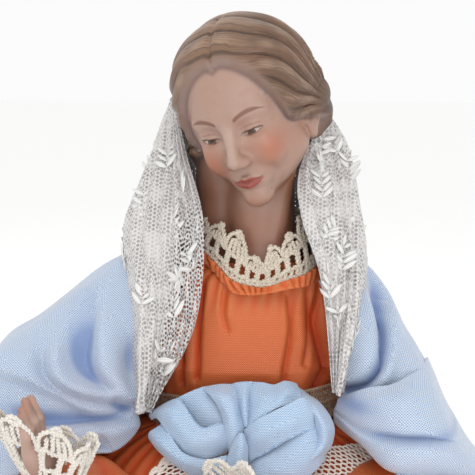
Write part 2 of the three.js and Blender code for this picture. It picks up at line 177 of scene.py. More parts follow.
def grid_quads(rows, columns, wrap=False):
    """Corner numbers of the quads of a grid, whose last column joins the first if it wraps."""
    last = columns if wrap else columns - 1
    row, column = np.meshgrid(np.arange(rows - 1), np.arange(last), indexing="ij")
    beside = (column + 1) % columns
    quads = np.stack([row * columns + column, row * columns + beside, (row + 1) * columns + beside,
                      (row + 1) * columns + column], axis=2)
    return quads.reshape(-1, 4)


def thin_sheet(grid, thickness, wrap=False):
    """Points and faces of a closed thin sheet round a grid of points."""
    rows, columns = grid.shape[:2]
    lift = grid_normals(grid, wrap) * thickness / 2
    size = rows * columns
    top = grid_quads(rows, columns, wrap)
    faces = [top, top[:, ::-1] + size]
    numbers = np.arange(size).reshape(rows, columns)
    around = np.concatenate([numbers, numbers[:, :1]], axis=1) if wrap else numbers
    rims = [around[0], around[-1, ::-1]]
    if not wrap:
        rims += [numbers[::-1, 0], numbers[:, -1]]
    for rim in rims:
        faces.append(np.stack([rim[1:], rim[:-1], rim[:-1] + size, rim[1:] + size], axis=1))
    return np.concatenate([(grid + lift).reshape(-1, 3), (grid - lift).reshape(-1, 3)]), np.concatenate(faces)


def joined(parts):
    """One set of points and faces from several."""
    starts = np.cumsum([0] + [len(points) for points, _ in parts[:-1]])
    faces = [faces + start for (_, faces), start in zip(parts, starts)]
    return np.concatenate([points for points, _ in parts]), np.concatenate(faces)


# Type and field of the point attributes that aren't plain numbers
MARK_KINDS = {"paint": ("FLOAT_COLOR", "color"), "turn": ("FLOAT_VECTOR", "vector")}


def new_object(name, points, faces, material=None, uvs=None, **marks):
    """A smooth-shaded object from points in mm. uvs are per face corner, and marks are per point."""
    mesh = bpy.data.meshes.new(name)
    mesh.from_pydata((np.asarray(points) * MM).tolist(), [], [tuple(face) for face in faces])
    mesh.shade_smooth()
    if uvs is not None:
        layer = mesh.uv_layers.new(name="cloth")
        layer.uv.foreach_set("vector", np.asarray(uvs, np.float32).ravel())
    for mark, values in marks.items():
        kind, field = MARK_KINDS.get(mark, ("FLOAT", "value"))
        layers = mesh.color_attributes if mark == "paint" else mesh.attributes
        layer = layers.new(name=mark, type=kind, domain="POINT")
        layer.data.foreach_set(field, np.asarray(values, np.float32).ravel())
    if material:
        mesh.materials.append(material)
    return linked(name, mesh)


def linked(name, data):
    """A new object in the scene."""
    made = bpy.data.objects.new(name, data)
    bpy.context.scene.collection.objects.link(made)
    return made


def finish_piece(made, node):
    """Lets a finished piece ride on the figure in place of its CAD node."""
    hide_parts(node)
    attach(made, "root")


def plain_copy(made):
    """Turns an object's evaluated mesh into its own mesh, with no modifier left on it."""
    bpy.context.view_layer.update()
    graph = bpy.context.evaluated_depsgraph_get()
    mesh = bpy.data.meshes.new_from_object(made.evaluated_get(graph), depsgraph=graph)
    made.modifiers.clear()
    made.data = mesh
    return mesh


def add(tree, kind, inputs=(), **settings):
    """Adds one node and returns its first output. Inputs are values or outputs, in order or by socket name.

    The kind is the node's name without ShaderNode or GeometryNode, which the tree gives.
    """
    family = "" if kind.startswith("NodeGroup") else tree.bl_idname.removesuffix("Tree")
    made = tree.nodes.new(family + kind)
    for name, value in settings.items():
        setattr(made, name, value)
    shown = [socket for socket in made.inputs if socket.enabled]
    pairs = inputs.items() if isinstance(inputs, dict) else enumerate(inputs)
    for key, value in pairs:
        socket = shown[key] if isinstance(key, int) else made.inputs[key]
        if isinstance(value, bpy.types.NodeSocket):
            tree.links.new(value, socket)
        elif value is not None:
            socket.default_value = value
    shown = [socket for socket in made.outputs if socket.enabled]
    return shown[0] if shown else made


# Settings of the nodes that mix colours, map a range with soft ends, or multiply
COLOURS = {"data_type": "RGBA"}
SMOOTH = {"interpolation_type": "SMOOTHSTEP"}
TIMES = {"operation": "MULTIPLY"}


def new_material(name):
    """A material with an empty node tree of its own."""
    material = bpy.data.materials.new(name)
    material.use_nodes = True
    material.node_tree.nodes.clear()
    return material, material.node_tree


def end_material(tree, inputs):
    """Ends a material in one principled shader with these inputs."""
    shader = add(tree, "BsdfPrincipled", inputs)
    add(tree, "OutputMaterial", {"Surface": shader})


# Fired clay under satin oil paint. It gives a soft gloss with brush streaks along the hair, dark pits, and
# ridges that are lighter in rubbed patches, partly wear and partly a painted highlight.
def painted_terracotta():
    """The head's and the hands' painted clay."""
    material, tree = new_material("painted terracotta")
    place = add(tree, "TexCoord").node.outputs["Object"]
    paint = add(tree, "Attribute", attribute_name="paint")
    hair = add(tree, "Attribute", attribute_name="hair").node.outputs["Fac"]
    strand = add(tree, "SeparateXYZ", [add(tree, "UVMap", uv_map="cloth")]).node.outputs
    drift = add(tree, "TexNoise", {"Vector": place, "Scale": 1 / (4.0 * MM), "Detail": 2.0})
    wander = add(tree, "Math", [drift, 5.0], **TIMES)
    across = add(tree, "Math", [strand["X"], 1.1, wander], operation="MULTIPLY_ADD")
    along = add(tree, "Math", [strand["Y"], 0.12], **TIMES)
    combed = add(tree, "CombineXYZ", [across, along])
    streaks = add(tree, "TexNoise", {"Vector": combed, "Scale": 1.0, "Detail": 2.0})
    cloudy = add(tree, "TexNoise", {"Vector": place, "Scale": 1 / (6.0 * MM), "Detail": 3.0})
    warm = add(tree, "MapRange", [cloudy, 0.3, 0.75, 0.0, 0.16], **SMOOTH)
    colour = add(tree, "Mix", [warm, paint, linear("#A06A50")], **COLOURS)
    dark = add(tree, "MapRange", [streaks, 0.52, 0.3, 0.0, 0.55], **SMOOTH)
    dark = add(tree, "Math", [dark, hair], **TIMES)
    colour = add(tree, "Mix", [dark, colour, linear("#3A261A")], **COLOURS)
    # Wear and painted highlight: the streaks' ridges on the hair go lighter in rubbed patches
    ridges = add(tree, "MapRange", [streaks, 0.56, 0.72, 0.0, 0.55], **SMOOTH)
    rubbed = add(tree, "MapRange", [cloudy, 0.45, 0.7], **SMOOTH)
    worn_and_highlit = add(tree, "Math", [add(tree, "Math", [ridges, rubbed], **TIMES), hair], **TIMES)
    colour = add(tree, "Mix", [worn_and_highlit, colour, linear("#B79C86")], **COLOURS)
    cells = add(tree, "TexVoronoi", {"Vector": place, "Scale": 380.0})
    some = add(tree, "TexNoise", {"Vector": place, "Scale": 1 / (7.0 * MM), "Detail": 2.0})
    here = add(tree, "MapRange", [some, 0.56, 0.6], **SMOOTH)
    pit = add(tree, "Math", [add(tree, "MapRange", [cells, 0.075, 0.045], **SMOOTH), here], **TIMES)
    dirt = add(tree, "Math", [pit, 0.85], **TIMES)
    colour = add(tree, "Mix", [dirt, colour, linear("#2E211C")], **COLOURS)
    satin = add(tree, "MapRange", [hair, 0.0, 1.0, 0.34, 0.38], **SMOOTH)
    brushed = add(tree, "TexNoise", {"Vector": place, "Scale": 1 / (2.0 * MM), "Detail": 2.0})
    rough = add(tree, "Math", [brushed, 0.12, satin], operation="MULTIPLY_ADD")
    grit = add(tree, "TexNoise", {"Vector": place, "Scale": 1 / (0.5 * MM), "Detail": 3.0})
    relief = add(tree, "Bump", {"Height": grit, "Distance": 0.035 * MM})
    combed = add(tree, "Math", [streaks, hair], **TIMES)
    relief = add(tree, "Bump", {"Height": combed, "Distance": 0.3 * MM, "Normal": relief})
    relief = add(tree, "Bump", {"Height": pit, "Distance": 0.12 * MM, "Normal": relief}, invert=True)
    end_material(tree, {"Base Color": colour, "Roughness": rough, "Normal": relief, "Specular IOR Level": 0.5,
                        "Subsurface Weight": 0.0, "Coat Weight": 0.12, "Coat Roughness": 0.3})
    return material


# Thin polyester or taffeta with a soft gloss. Its dotted weave shows light threads over darker gaps, a tint
# shows in patches, and its hollows get painted shade: the deep colour that light gets on its way from fold to
# fold.
def woven_cloth(name, light, shade, tint, deep, pitch, ribs, rough, sheen):
    """Woven cloth of this pitch in mm; ribs is the share of the crosswise ribs in its relief."""
    material, tree = new_material(name)
    place = add(tree, "TexCoord").node.outputs["Object"]
    cloth = add(tree, "SeparateXYZ", [add(tree, "UVMap", uv_map="cloth")]).node.outputs
    warp, weft = (add(tree, "Math", [add(tree, "Math", [cloth[axis], 2 * math.pi / pitch], **TIMES)],
                      operation="SINE") for axis in ("X", "Y"))
    dots = add(tree, "Math", [warp, weft], **TIMES)
    rib = add(tree, "Math", [weft, 0.5 * ribs, 0.5], operation="MULTIPLY_ADD")
    weave = add(tree, "Math", [dots, 0.5 * (1 - ribs), rib], operation="MULTIPLY_ADD")
    colour = add(tree, "Mix", [add(tree, "MapRange", [weave, 0.26, 0.72], **SMOOTH), shade, light], **COLOURS)
    patches, slubs = (26.0, 1.0, 0.4, 0.75, 0.34, tint), (1.1, 3.0, 0.55, 0.75, 0.2, light)
    for size, detail, low, high, most, paint in (patches, slubs):
        spots = add(tree, "TexNoise", {"Vector": place, "Scale": 1 / (size * MM), "Detail": detail})
        share = add(tree, "MapRange", [spots, low, high, 0.0, most], **SMOOTH)
        colour = add(tree, "Mix", [share, colour, paint], **COLOURS)
    # Painted shade: the marked hollows take the deep colour, which stands for shade and light bounced between
    # folds
    hollow = add(tree, "Attribute", attribute_name="hollow").node.outputs["Fac"]
    share = add(tree, "Math", [hollow, 0.75], **TIMES)
    colour = add(tree, "Mix", [share, colour, deep], **COLOURS)
    roughness = add(tree, "Math", [weave, -0.12, rough + 0.06], operation="MULTIPLY_ADD")
    crumple = add(tree, "TexNoise", {"Vector": place, "Scale": 1 / (5.0 * MM), "Detail": 3.0})
    relief = add(tree, "Bump", {"Height": crumple, "Distance": 0.35 * MM})
    relief = add(tree, "Bump", {"Height": weave, "Distance": 0.1 * MM, "Normal": relief})
    end_material(tree, {"Base Color": colour, "Roughness": roughness, "Normal": relief, "Sheen Weight": sheen,
                        "Sheen Roughness": 0.4, "Specular IOR Level": 0.4})
    return material


# Matt spun cotton. It gives soft fibres, darker hollows between the strands and yellowed patches.
def cotton_cord(name, light, shade):
    """The cord of the lace, the belt and the loose threads."""
    material, tree = new_material(name)
    place = add(tree, "TexCoord").node.outputs["Object"]
    fibres = add(tree, "TexNoise", {"Vector": place, "Scale": 1 / (0.3 * MM), "Detail": 2.0})
    colour = add(tree, "Mix", [add(tree, "MapRange", [fibres, 0.35, 0.7], **SMOOTH), shade, light], **COLOURS)
    cloudy = add(tree, "TexNoise", {"Vector": place, "Scale": 1 / (9.0 * MM), "Detail": 2.0})
    aged = add(tree, "MapRange", [cloudy, 0.5, 0.75, 0.0, 0.3], **SMOOTH)
    colour = add(tree, "Mix", [aged, colour, shade], **COLOURS)
    relief = add(tree, "Bump", {"Height": fibres, "Distance": 0.025 * MM})
    end_material(tree, {"Base Color": colour, "Roughness": 0.82, "Normal": relief, "Sheen Weight": 0.25,
                        "Sheen Roughness": 0.5, "Specular IOR Level": 0.25})
    return material


# Stiff cotton net. Its six-sided holes are open where it is single and closed where it lies in several folds.
def tulle(name, pitch):
    """The veil's net, with holes this far apart in mm."""
    material, tree = new_material(name)
    cloth = add(tree, "SeparateXYZ", [add(tree, "UVMap", uv_map="cloth")]).node.outputs
    turn = 4 * math.pi / (math.sqrt(3) * pitch)
    total = 0.0
    for angle in np.radians((0, 60, 120)):
        down = add(tree, "Math", [cloth["Y"], turn * math.sin(angle)], **TIMES)
        phase = add(tree, "Math", [cloth["X"], turn * math.cos(angle), down], operation="MULTIPLY_ADD")
        wave = add(tree, "Math", [phase], operation="COSINE")
        total = add(tree, "Math", [wave, total], operation="ADD")
    closed = add(tree, "Attribute", attribute_name="closed").node.outputs["Fac"]
    limit = add(tree, "MapRange", [closed, 0.0, 1.0, -0.62, 3.2])
    edge = add(tree, "Math", [limit, total], operation="SUBTRACT")
    alpha = add(tree, "MapRange", [edge, -0.12, 0.12], **SMOOTH)
    thread = add(tree, "MapRange", [total, -1.5, 0.6, 1.0, 0.0], **SMOOTH)
    place = add(tree, "TexCoord").node.outputs["Object"]
    patches = add(tree, "TexNoise", {"Vector": place, "Scale": 1 / (5.0 * MM), "Detail": 2.0})
    patches = add(tree, "MapRange", [patches, 0.42, 0.62], **SMOOTH)
    colour = add(tree, "Mix", [patches, linear("#A8A4A3"), linear("#CBC8C6")], **COLOURS)
    colour = add(tree, "Mix", [thread, colour, linear("#DDDAD8")], **COLOURS)
    relief = add(tree, "Bump", {"Height": thread, "Distance": 0.12 * MM})
    end_material(tree, {"Base Color": colour, "Roughness": 0.6, "Normal": relief, "Alpha": alpha,
                        "Sheen Weight": 0.3, "Sheen Roughness": 0.4, "Specular IOR Level": 0.35})
    return material


# Glossy floss in satin stitch. It gives close ridges across each leaf, drawn at 0.3 mm so that they show.
def embroidery_floss():
    """The white thread of the veil's leaves."""
    material, tree = new_material("white embroidery floss")
    cloth = add(tree, "SeparateXYZ", [add(tree, "UVMap", uv_map="cloth")])
    wave = add(tree, "Math", [add(tree, "Math", [cloth, 2 * math.pi / 0.3], **TIMES)], operation="SINE")
    stitches = add(tree, "MapRange", [wave, -1.0, 1.0], **SMOOTH)
    colour = add(tree, "Mix", [stitches, linear("#DAD9D6"), linear("#F1F0EE")], **COLOURS)
    relief = add(tree, "Bump", {"Height": stitches, "Distance": 0.06 * MM})
    end_material(tree, {"Base Color": colour, "Roughness": 0.38, "Normal": relief, "Sheen Weight": 0.2,
                        "Specular IOR Level": 0.5})
    return material


# Turned walnut under wax. It gives long grain in two browns, dark open pores and a soft gloss.
def waxed_walnut():
    """The base's wood."""
    material, tree = new_material("waxed walnut")
    place = add(tree, "TexCoord").node.outputs["Object"]
    place = add(tree, "Mapping", {"Vector": place, "Scale": (0.12, 1.0, 1.0)})
    rings = add(tree, "TexNoise", {"Vector": place, "Scale": 1 / (7.0 * MM), "Detail": 3.0})
    bands = add(tree, "Math", [add(tree, "Math", [rings, 42.0], **TIMES)], operation="SINE")
    bands = add(tree, "MapRange", [bands, -1.0, 1.0], **SMOOTH)
    colour = add(tree, "Mix", [bands, linear("#4A2E1D"), linear("#7A5236")], **COLOURS)
    pores = add(tree, "TexNoise", {"Vector": place, "Scale": 1 / (0.5 * MM), "Detail": 2.0})
    pores = add(tree, "MapRange", [pores, 0.58, 0.68], **SMOOTH)
    share = add(tree, "Math", [pores, 0.7], **TIMES)
    colour = add(tree, "Mix", [share, colour, linear("#2C1A10")], **COLOURS)
    cloudy = add(tree, "TexNoise", {"Vector": place, "Scale": 1 / (3.0 * MM), "Detail": 2.0})
    rough = add(tree, "Math", [cloudy, 0.2, 0.26], operation="MULTIPLY_ADD")
    relief = add(tree, "Bump", {"Height": pores, "Distance": 0.06 * MM}, invert=True)
    end_material(tree, {"Base Color": colour, "Roughness": rough, "Normal": relief, "Coat Weight": 0.25,
                        "Coat Roughness": 0.25})
    return material


# Matt studio paper, all but plain white.
def studio_paper():
    """The floor's paper."""
    material, tree = new_material("pale studio paper")
    place = add(tree, "TexCoord").node.outputs["Object"]
    fibres = add(tree, "TexNoise", {"Vector": place, "Scale": 1 / (1.5 * MM), "Detail": 3.0})
    share = add(tree, "MapRange", [fibres, 0.3, 0.7], **SMOOTH)
    colour = add(tree, "Mix", [share, linear("#FBFBFA"), linear("#FFFFFF")], **COLOURS)
    end_material(tree, {"Base Color": colour, "Roughness": 0.85})
    return material


def egg(points, centre, half):
    """Distance in mm to the surface of an ellipsoid, below zero inside."""
    from_centre = (points - np.array(centre, float)) / np.array(half, float)
    reach = np.linalg.norm(from_centre, axis=1)
    slope = np.linalg.norm(from_centre / np.array(half, float), axis=1)
    return reach * (reach - 1) / np.maximum(slope, 1e-6)


def rod(points, start, end, first, last):
    """Distance to a round-ended rod from start to end, whose radius goes from first to last."""
    start = np.array(start, float)
    line = np.array(end, float) - start
    share = np.clip((points - start) @ line / (line @ line), 0, 1)
    nearest = start + share[:, None] * line
    return np.linalg.norm(points - nearest, axis=1) - (first + (last - first) * share)


def merge(a, b, reach):
    """Union of two distances, with the valley between them rounded over the reach."""
    share = np.clip(0.5 + 0.5 * (b - a) / reach, 0, 1)
    return b + (a - b) * share - reach * share * (1 - share)


def carve(a, b, reach):
    """The first shape without the second, with a rounded rim."""
    return -merge(-a, b, reach)


def closed_form(rings, ends):
    """Points and faces of a closed form: rings of points, and one more point at each end."""
    count, sides = rings.shape[:2]
    size = count * sides
    faces = grid_quads(count, sides, True).tolist()
    for side in range(sides):
        beside = (side + 1) % sides
        faces.append([size, beside, side])
        faces.append([size + 1, size - sides + side, size - sides + beside])
    return np.concatenate([rings.reshape(-1, 3), ends]), faces


def blob(centre, half, turn=None):
    """Points and faces of a closed ellipsoid, from which a sculpted piece is started."""
    sides, rings = 28, 14
    polar = np.linspace(0, math.pi, rings + 1)[1:-1, None]
    around = -np.arange(sides)[None, :] * 2 * math.pi / sides
    ball = np.stack([np.sin(polar) * np.cos(around), np.sin(polar) * np.sin(around),
                     np.cos(polar) + 0 * around], axis=2)
    points, faces = closed_form(ball, [[0, 0, 1], [0, 0, -1]])
    points = points * half
    if turn is not None:
        points = points @ np.asarray(turn).T
    return points + np.array(centre, float), faces


def rod_blob(start, end, first, last, sides=16):
    """Points and faces of a closed rod with blunt ends."""
    start, end = np.array(start, float), np.array(end, float)
    line = unit(end - start)
    side = unit(np.cross(line, [0.3, 0.5, 0.81]))
    angle = np.arange(sides)[:, None] * 2 * math.pi / sides
    ring = np.cos(angle) * side + np.sin(angle) * np.cross(line, side)
    rings = [start - line * first * 0.6 + ring * first * 0.6, start + ring * first, end + ring * last,
             end + line * last * 0.6 + ring * last * 0.6]
    return closed_form(np.stack(rings), [start - line * first, end + line * last])


def slope_of(shape, points):
    """How fast the shape's distance grows along x, y and z at the points."""
    step = 0.02
    slopes = []
    for axis in range(3):
        shift = np.zeros(3)
        shift[axis] = step
        slopes.append((shape(points + shift) - shape(points - shift)) / (2 * step))
    return np.stack(slopes, axis=1)


def settle(shape, points, steps):
    """Moves points onto the surface where the shape's distance is zero."""
    for _ in range(steps):
        slope = slope_of(shape, points)
        size = np.maximum((slope ** 2).sum(axis=1), 0.3)
        move = (shape(points) / size)[:, None] * slope
        length = np.maximum(np.linalg.norm(move, axis=1, keepdims=True), 1e-9)
        points = points - move * np.minimum(1, 0.9 / length)
    return points


def mesh_points(mesh):
    """The mesh's points as an (n, 3) array."""
    points = np.zeros(len(mesh.vertices) * 3)
    mesh.vertices.foreach_get("co", points)
    return points.reshape(-1, 3)


def sculpt(shape, blobs, voxel, fine=None):
    """Points and faces of a shape: the blobs are welded by a voxel remesh, and every point is then settled.

    Where fine(points) is true, each face is cut in nine so that small features keep their edges.
    """
    points, faces, start = [], [], 0
    for blob_points, blob_faces in blobs:
        points.append(blob_points)
        faces += [[corner + start for corner in face] for face in blob_faces]
        start += len(blob_points)
    mesh = bpy.data.meshes.new("rough")
    mesh.from_pydata(np.concatenate(points).tolist(), [], faces)
    rough = linked("rough", mesh)
    weld = rough.modifiers.new("weld", "REMESH")
    weld.mode = "VOXEL"
    weld.voxel_size = voxel
    mesh = plain_copy(rough)
    points = settle(shape, mesh_points(mesh), 4)
    if fine is not None:
        mesh.vertices.foreach_set("co", points.ravel())
        cut_faces(mesh, fine(points))
        points = settle(shape, mesh_points(mesh), 2)
    faces = [tuple(face.vertices) for face in mesh.polygons]
    bpy.data.objects.remove(rough)
    return points, faces


def cut_faces(mesh, chosen):
    """Cuts the faces whose points are all chosen in nine."""
    work = bmesh.new()
    work.from_mesh(mesh)
    faces = [face for face in work.faces if all(chosen[corner.index] for corner in face.verts)]
    edges = list({edge for face in faces for edge in face.edges})
    bmesh.ops.subdivide_edges(work, edges=edges, cuts=2, use_grid_fill=True)
    work.to_mesh(mesh)
    work.free()


def head_turn():
    """Rotation from the head's own frame, which faces -Y, to the figure's."""
    yaw, roll, bow = (math.radians(HEAD_TURNS[name]) for name in ("yaw", "roll", "bow"))
    about_z = np.array([[math.cos(yaw), -math.sin(yaw), 0], [math.sin(yaw), math.cos(yaw), 0], [0, 0, 1]])
    about_y = np.array([[math.cos(roll), 0, math.sin(roll)], [0, 1, 0], [-math.sin(roll), 0, math.cos(roll)]])
    about_x = np.array([[1, 0, 0], [0, math.cos(bow), -math.sin(bow)], [0, math.sin(bow), math.cos(bow)]])
    return about_z @ about_y @ about_x


HEAD_TURN = head_turn()
EYE = {"x": 6.3, "z": -2.4, "half": 3.1}
LIP_LINE_Z = -16.4
STRANDS_END = (16.0, 8.0, -10.0)
# The stacked locks over the left ear
SIDE_LOCKS = ((12.8, 8.5, 5.2), (14.6, 7.8, 0.2), (15.2, 7.4, -5.0), (14.0, 7.6, -10.0))
# How much of each channel the skin's old varnish lets through
PAINT_AGE = np.array([0.56, 0.52, 0.49])


def in_head(points):
    """Points of the figure's frame in the head's own frame."""
    return (np.asarray(points, float) - HEAD_CENTRE) @ HEAD_TURN / HEAD_SCALE


def from_head(points):
    """Points of the head's own frame in the figure's frame."""
    return np.asarray(points, float) @ HEAD_TURN.T * HEAD_SCALE + HEAD_CENTRE


def lid_lines(x):
    """Heights of the upper and lower lid edges at a distance from the middle of the face."""
    share = np.clip((x - EYE["x"]) / EYE["half"], -1, 1)
    arch = (1 - share ** 2) ** 0.75
    middle = EYE["z"] + 0.22 * share
    return middle + 0.55 * arch, middle - 0.95 * arch


def spot(value, middle, half):
    """1 at the middle of a soft spot, falling to 0.37 at its half width."""
    return np.exp(-((value - middle) / half) ** 2)


def skull_shape(p):
    """The rounded form under the hair and the face."""
    return merge(egg(p, (0, 2.5, 4.2), (18.4, 20.3, 19.6)), egg(p, (0, -4.3, -4), (14.8, 15.6, 19.4)), 2.5)


def mirrored(p):
    """The points, all taken to the head's left side."""
    return p * np.where(p[:, :1] < 0, [-1, 1, 1], [1, 1, 1])


# Forms that model the face, in this order: what joins them, the form, its measures and the reach of the rim
FACE_FORMS = (
    (merge, rod, ((0, -13.6, -21.4), (10.2, -1.8, -14.2), 3.4, 3.9), 5),
    (merge, egg, ((7.4, -13.9, -9.4), (4.4, 4.3, 5.2)), 3.5),
    (merge, egg, ((0, -16.0, -22.3), (4.4, 3.4, 3.2)), 3),
    (merge, rod, ((2.6, -16.9, 2.9), (9.8, -13.9, 2.4), 1.8, 1.5), 3),
    (carve, egg, ((6.5, -20.9, -1.6), (4.4, 3.5, 3.1)), 2.2),
    (merge, egg, ((0, -15.9, -16.3), (6.0, 3.3, 4.6)), 2.5),
    (merge, rod, ((0, -17.4, 1.8), (0, -22.4, -8.2), 1.35, 1.75), 2.2),
    (merge, egg, ((0, -22.5, -9.2), (2.1, 2.3, 2.0)), 1.4),
    (merge, egg, ((2.1, -20.4, -9.9), (1.5, 2.1, 1.5)), 1.9),
    (carve, egg, ((1.25, -21.9, -11.7), (0.6, 1.0, 0.75)), 0.5),
    (merge, rod, ((0.7, -19.4, -15.3), (4.4, -17.6, -16.2), 0.85, 0.35), 0.8),
    (merge, rod, ((0, -19.2, -17.5), (3.2, -18.1, -17.0), 1.15, 0.6), 0.9),
)


def skin_shape(p):
    """Distance to the skin of the face, ears, neck and chest, in the head's own frame."""
    m = mirrored(p)
    x, y, z = m.T
    skin = skull_shape(p)
    for join, form, measures, reach in FACE_FORMS:
        skin = join(skin, form(m, *measures), reach)
    front = ramp(-12, -15, y)
    slit = spot(z - 0.02 * x ** 2, LIP_LINE_Z, 0.32) * ramp(5.6, 4.2, x)
    groove = spot(x, 0, 0.75) * ramp(-15, -14.2, z) * ramp(-11.9, -12.8, z)
    corner = np.exp(-((x - 5.1) ** 2 + (z - LIP_LINE_Z) ** 2) / 0.7)
    fold = spot(z, -19.4, 0.9) * spot(x, 0, 3.6)
    skin = skin + front * (0.15 * slit + 0.14 * groove + 0.18 * corner + 0.25 * fold)
    lid = egg(m, (EYE["x"], -14.7, EYE["z"]), (3.95, 3.95, 3.95))
    upper, lower = lid_lines(x)
    opening = np.maximum(z - upper, lower - z)
    opening = np.maximum(opening, np.abs(x - EYE["x"]) - EYE["half"])
    lid = np.maximum(lid, -opening)
    skin = merge(skin, lid, 0.7)
    skin = np.where((y < -12) & (opening < 0), np.maximum(skin, -opening), skin)
    skin = np.minimum(skin, egg(m, (EYE["x"], -14.7, EYE["z"]), (3.5, 3.5, 3.5)))
    return neck_shape(ear_shape(skin, m), p)


def ear_shape(skin, m):
    """Adds the ears to the skin: a rim, a hollow, a lobe and the small flap in front."""
    ear = egg(m, (15.9, 1.6, -8.2), (2.0, 3.3, 6.0))
    ear = carve(ear, egg(m, (18.3, 0.2, -8.0), (1.9, 2.2, 3.6)), 0.9)
    rim = along_points(((15.2, -1.4, -5.2), (16.6, 0.2, -2.6), (18.2, 2.8, -3.4), (18.5, 3.9, -7.0),
                        (17.1, 2.6, -11.4)), np.linspace(0, 1, 9))
    for start, end in zip(rim, rim[1:]):
        ear = merge(ear, rod(m, start, end, 0.75, 0.75), 0.5)
    ear = merge(ear, egg(m, (15.8, 0.6, -13.0), (1.3, 1.6, 2.2)), 1.0)
    ear = merge(ear, egg(m, (15.3, -1.6, -8.4), (0.9, 0.9, 1.3)), 0.8)
    return merge(skin, ear, 1.0)


def neck_shape(skin, p):
    """Adds the neck and the plate of the upper chest, which stay with the body while the head leans."""
    world = from_head(p)
    neck_foot = in_head(NECK_FOOT)
    neck = rod(p, neck_foot, (0, 3.6, -10), 9.8, 8.9)
    neck = merge(neck, egg(world, CHEST, (15.5, 12, 7.5)), 6)
    neck = merge(neck, rod(p, *in_head(NECK_BEHIND), 9.0, 8.2), 3)
    for side in (-1, 1):
        behind_ear = (11.0 * side, 4.0, -11.5)
        notch = in_head((4.5 + 3.0 * side, -10.2, 131.5))
        neck = merge(neck, rod(p, behind_ear, notch, 1.6, 1.0), 3.4)
    return merge(skin, neck, 2.4)


def hair_depth(p):
    """How far inside the hair a point lies, in mm: below zero on the face, the ears' fronts and the neck."""
    x, y, z = np.abs(p[:, 0]), p[:, 1], p[:, 2]
    oval = (np.sqrt((x / 14.2) ** 2 + ((z + 4) / 20.4) ** 2) - 1) * 15
    peak = 0.9 * np.exp(-(x / 1.4) ** 2)
    front = np.maximum(oval + peak, y + 3.5)
    behind = y - (2.0 - 0.5 * (z + 6))
    over_ear = ramp(-6, -12, p[:, 0])
    front = front - 3.4 * ramp(-1, -11, z) ** 2 * (1 - over_ear)
    behind = behind + (y + 3.2 + 0.2 * (z + 8) - behind) * over_ear
    depth = behind + (front - behind) * ramp(-12.5, -8.0, z)
    return np.minimum(depth, z + 17.5 + 6 * over_ear)


def strand_place(p):
    """Angle and distance of a point round the place low behind the ear where the strands meet."""
    x = np.abs(p[:, 0])
    forward, high = STRANDS_END[1] - p[:, 1], p[:, 2] - STRANDS_END[2]
    distance = np.sqrt(forward ** 2 + high ** 2 + 0.5 * (x - STRANDS_END[0]) ** 2)
    angle = np.degrees(np.arctan2(high, forward))
    wave = 2.6 * np.sin(distance / 2.9 + p[:, 0] * 0.1) * ramp(4, 12, x)
    return angle + wave + 2.2 * noise(p, 14.0, 3), distance


def locks_at(p):
    """Height of the locks and of the finer strands at the points, 0 to 1."""
    angle, distance = strand_place(p)
    locks = np.sqrt(np.sin(math.pi * angle / 14) ** 2 + 0.012) ** 0.8
    strands = np.sqrt(np.sin(math.pi * angle / 4.7 + 0.8) ** 2 + 0.04)
    return locks, strands, ramp(6, 15, distance)


def hair_shape(p):
    """Distance to the surface of the swept-back hair, in the head's own frame."""
    m = mirrored(p)
    x, y, z = m.T
    hair = skull_shape(p)
    hair = merge(hair, egg(m, (12.9, 6.5, -7.5), (4.6, 8.6, 10.6)), 3)
    hair = merge(hair, egg(p, (0, 18.5, -6), (10, 7.5, 9.4)), 2)
    hair = merge(hair, egg(p, (-16.2, 2.5, -14), (5.2, 6.6, 10.5)), 2.5)
    for lump in SIDE_LOCKS:
        hair = merge(hair, egg(p, lump, (4.0, 6.4, 3.3)), 0.8)
    depth = hair_depth(p)
    locks, strands, clear = locks_at(p)
    side = ramp(7, 17, x)
    parting = np.exp(-(x / 0.8) ** 2) * ramp(9, 5, y) * ramp(8, 12, z)
    thick = 2.3 * ramp(-0.4, 3.0, depth) + 0.35 * side
    near = ramp(3, 14, p[:, 0])
    relief = clear * ((0.55 + 0.6 * side + 0.3 * near) * (locks - 0.65) + 0.12 * (strands - 0.6))
    buried = 1.1 * (1 - ramp(-1.8, 0.3, depth))
    knot = ramp(12, 17, y) * 0.35 * np.sin(1.1 * x + 0.9 * z)
    return hair - thick - relief * ramp(1.5, 5.5, depth) + buried + 0.8 * parting - knot


def head_shape(p):
    """Distance to the whole head: whichever of the hair and the skin lies outside."""
    return merge(hair_shape(p), skin_shape(p), 0.35)


def mix_paint(paint, layers):
    """Lays colours over the painted points, each by its share per point."""
    for code, share in layers:
        paint = paint + (np.array(linear(code)[:3]) - paint) * np.clip(share, 0, 1)[:, None]
    return paint


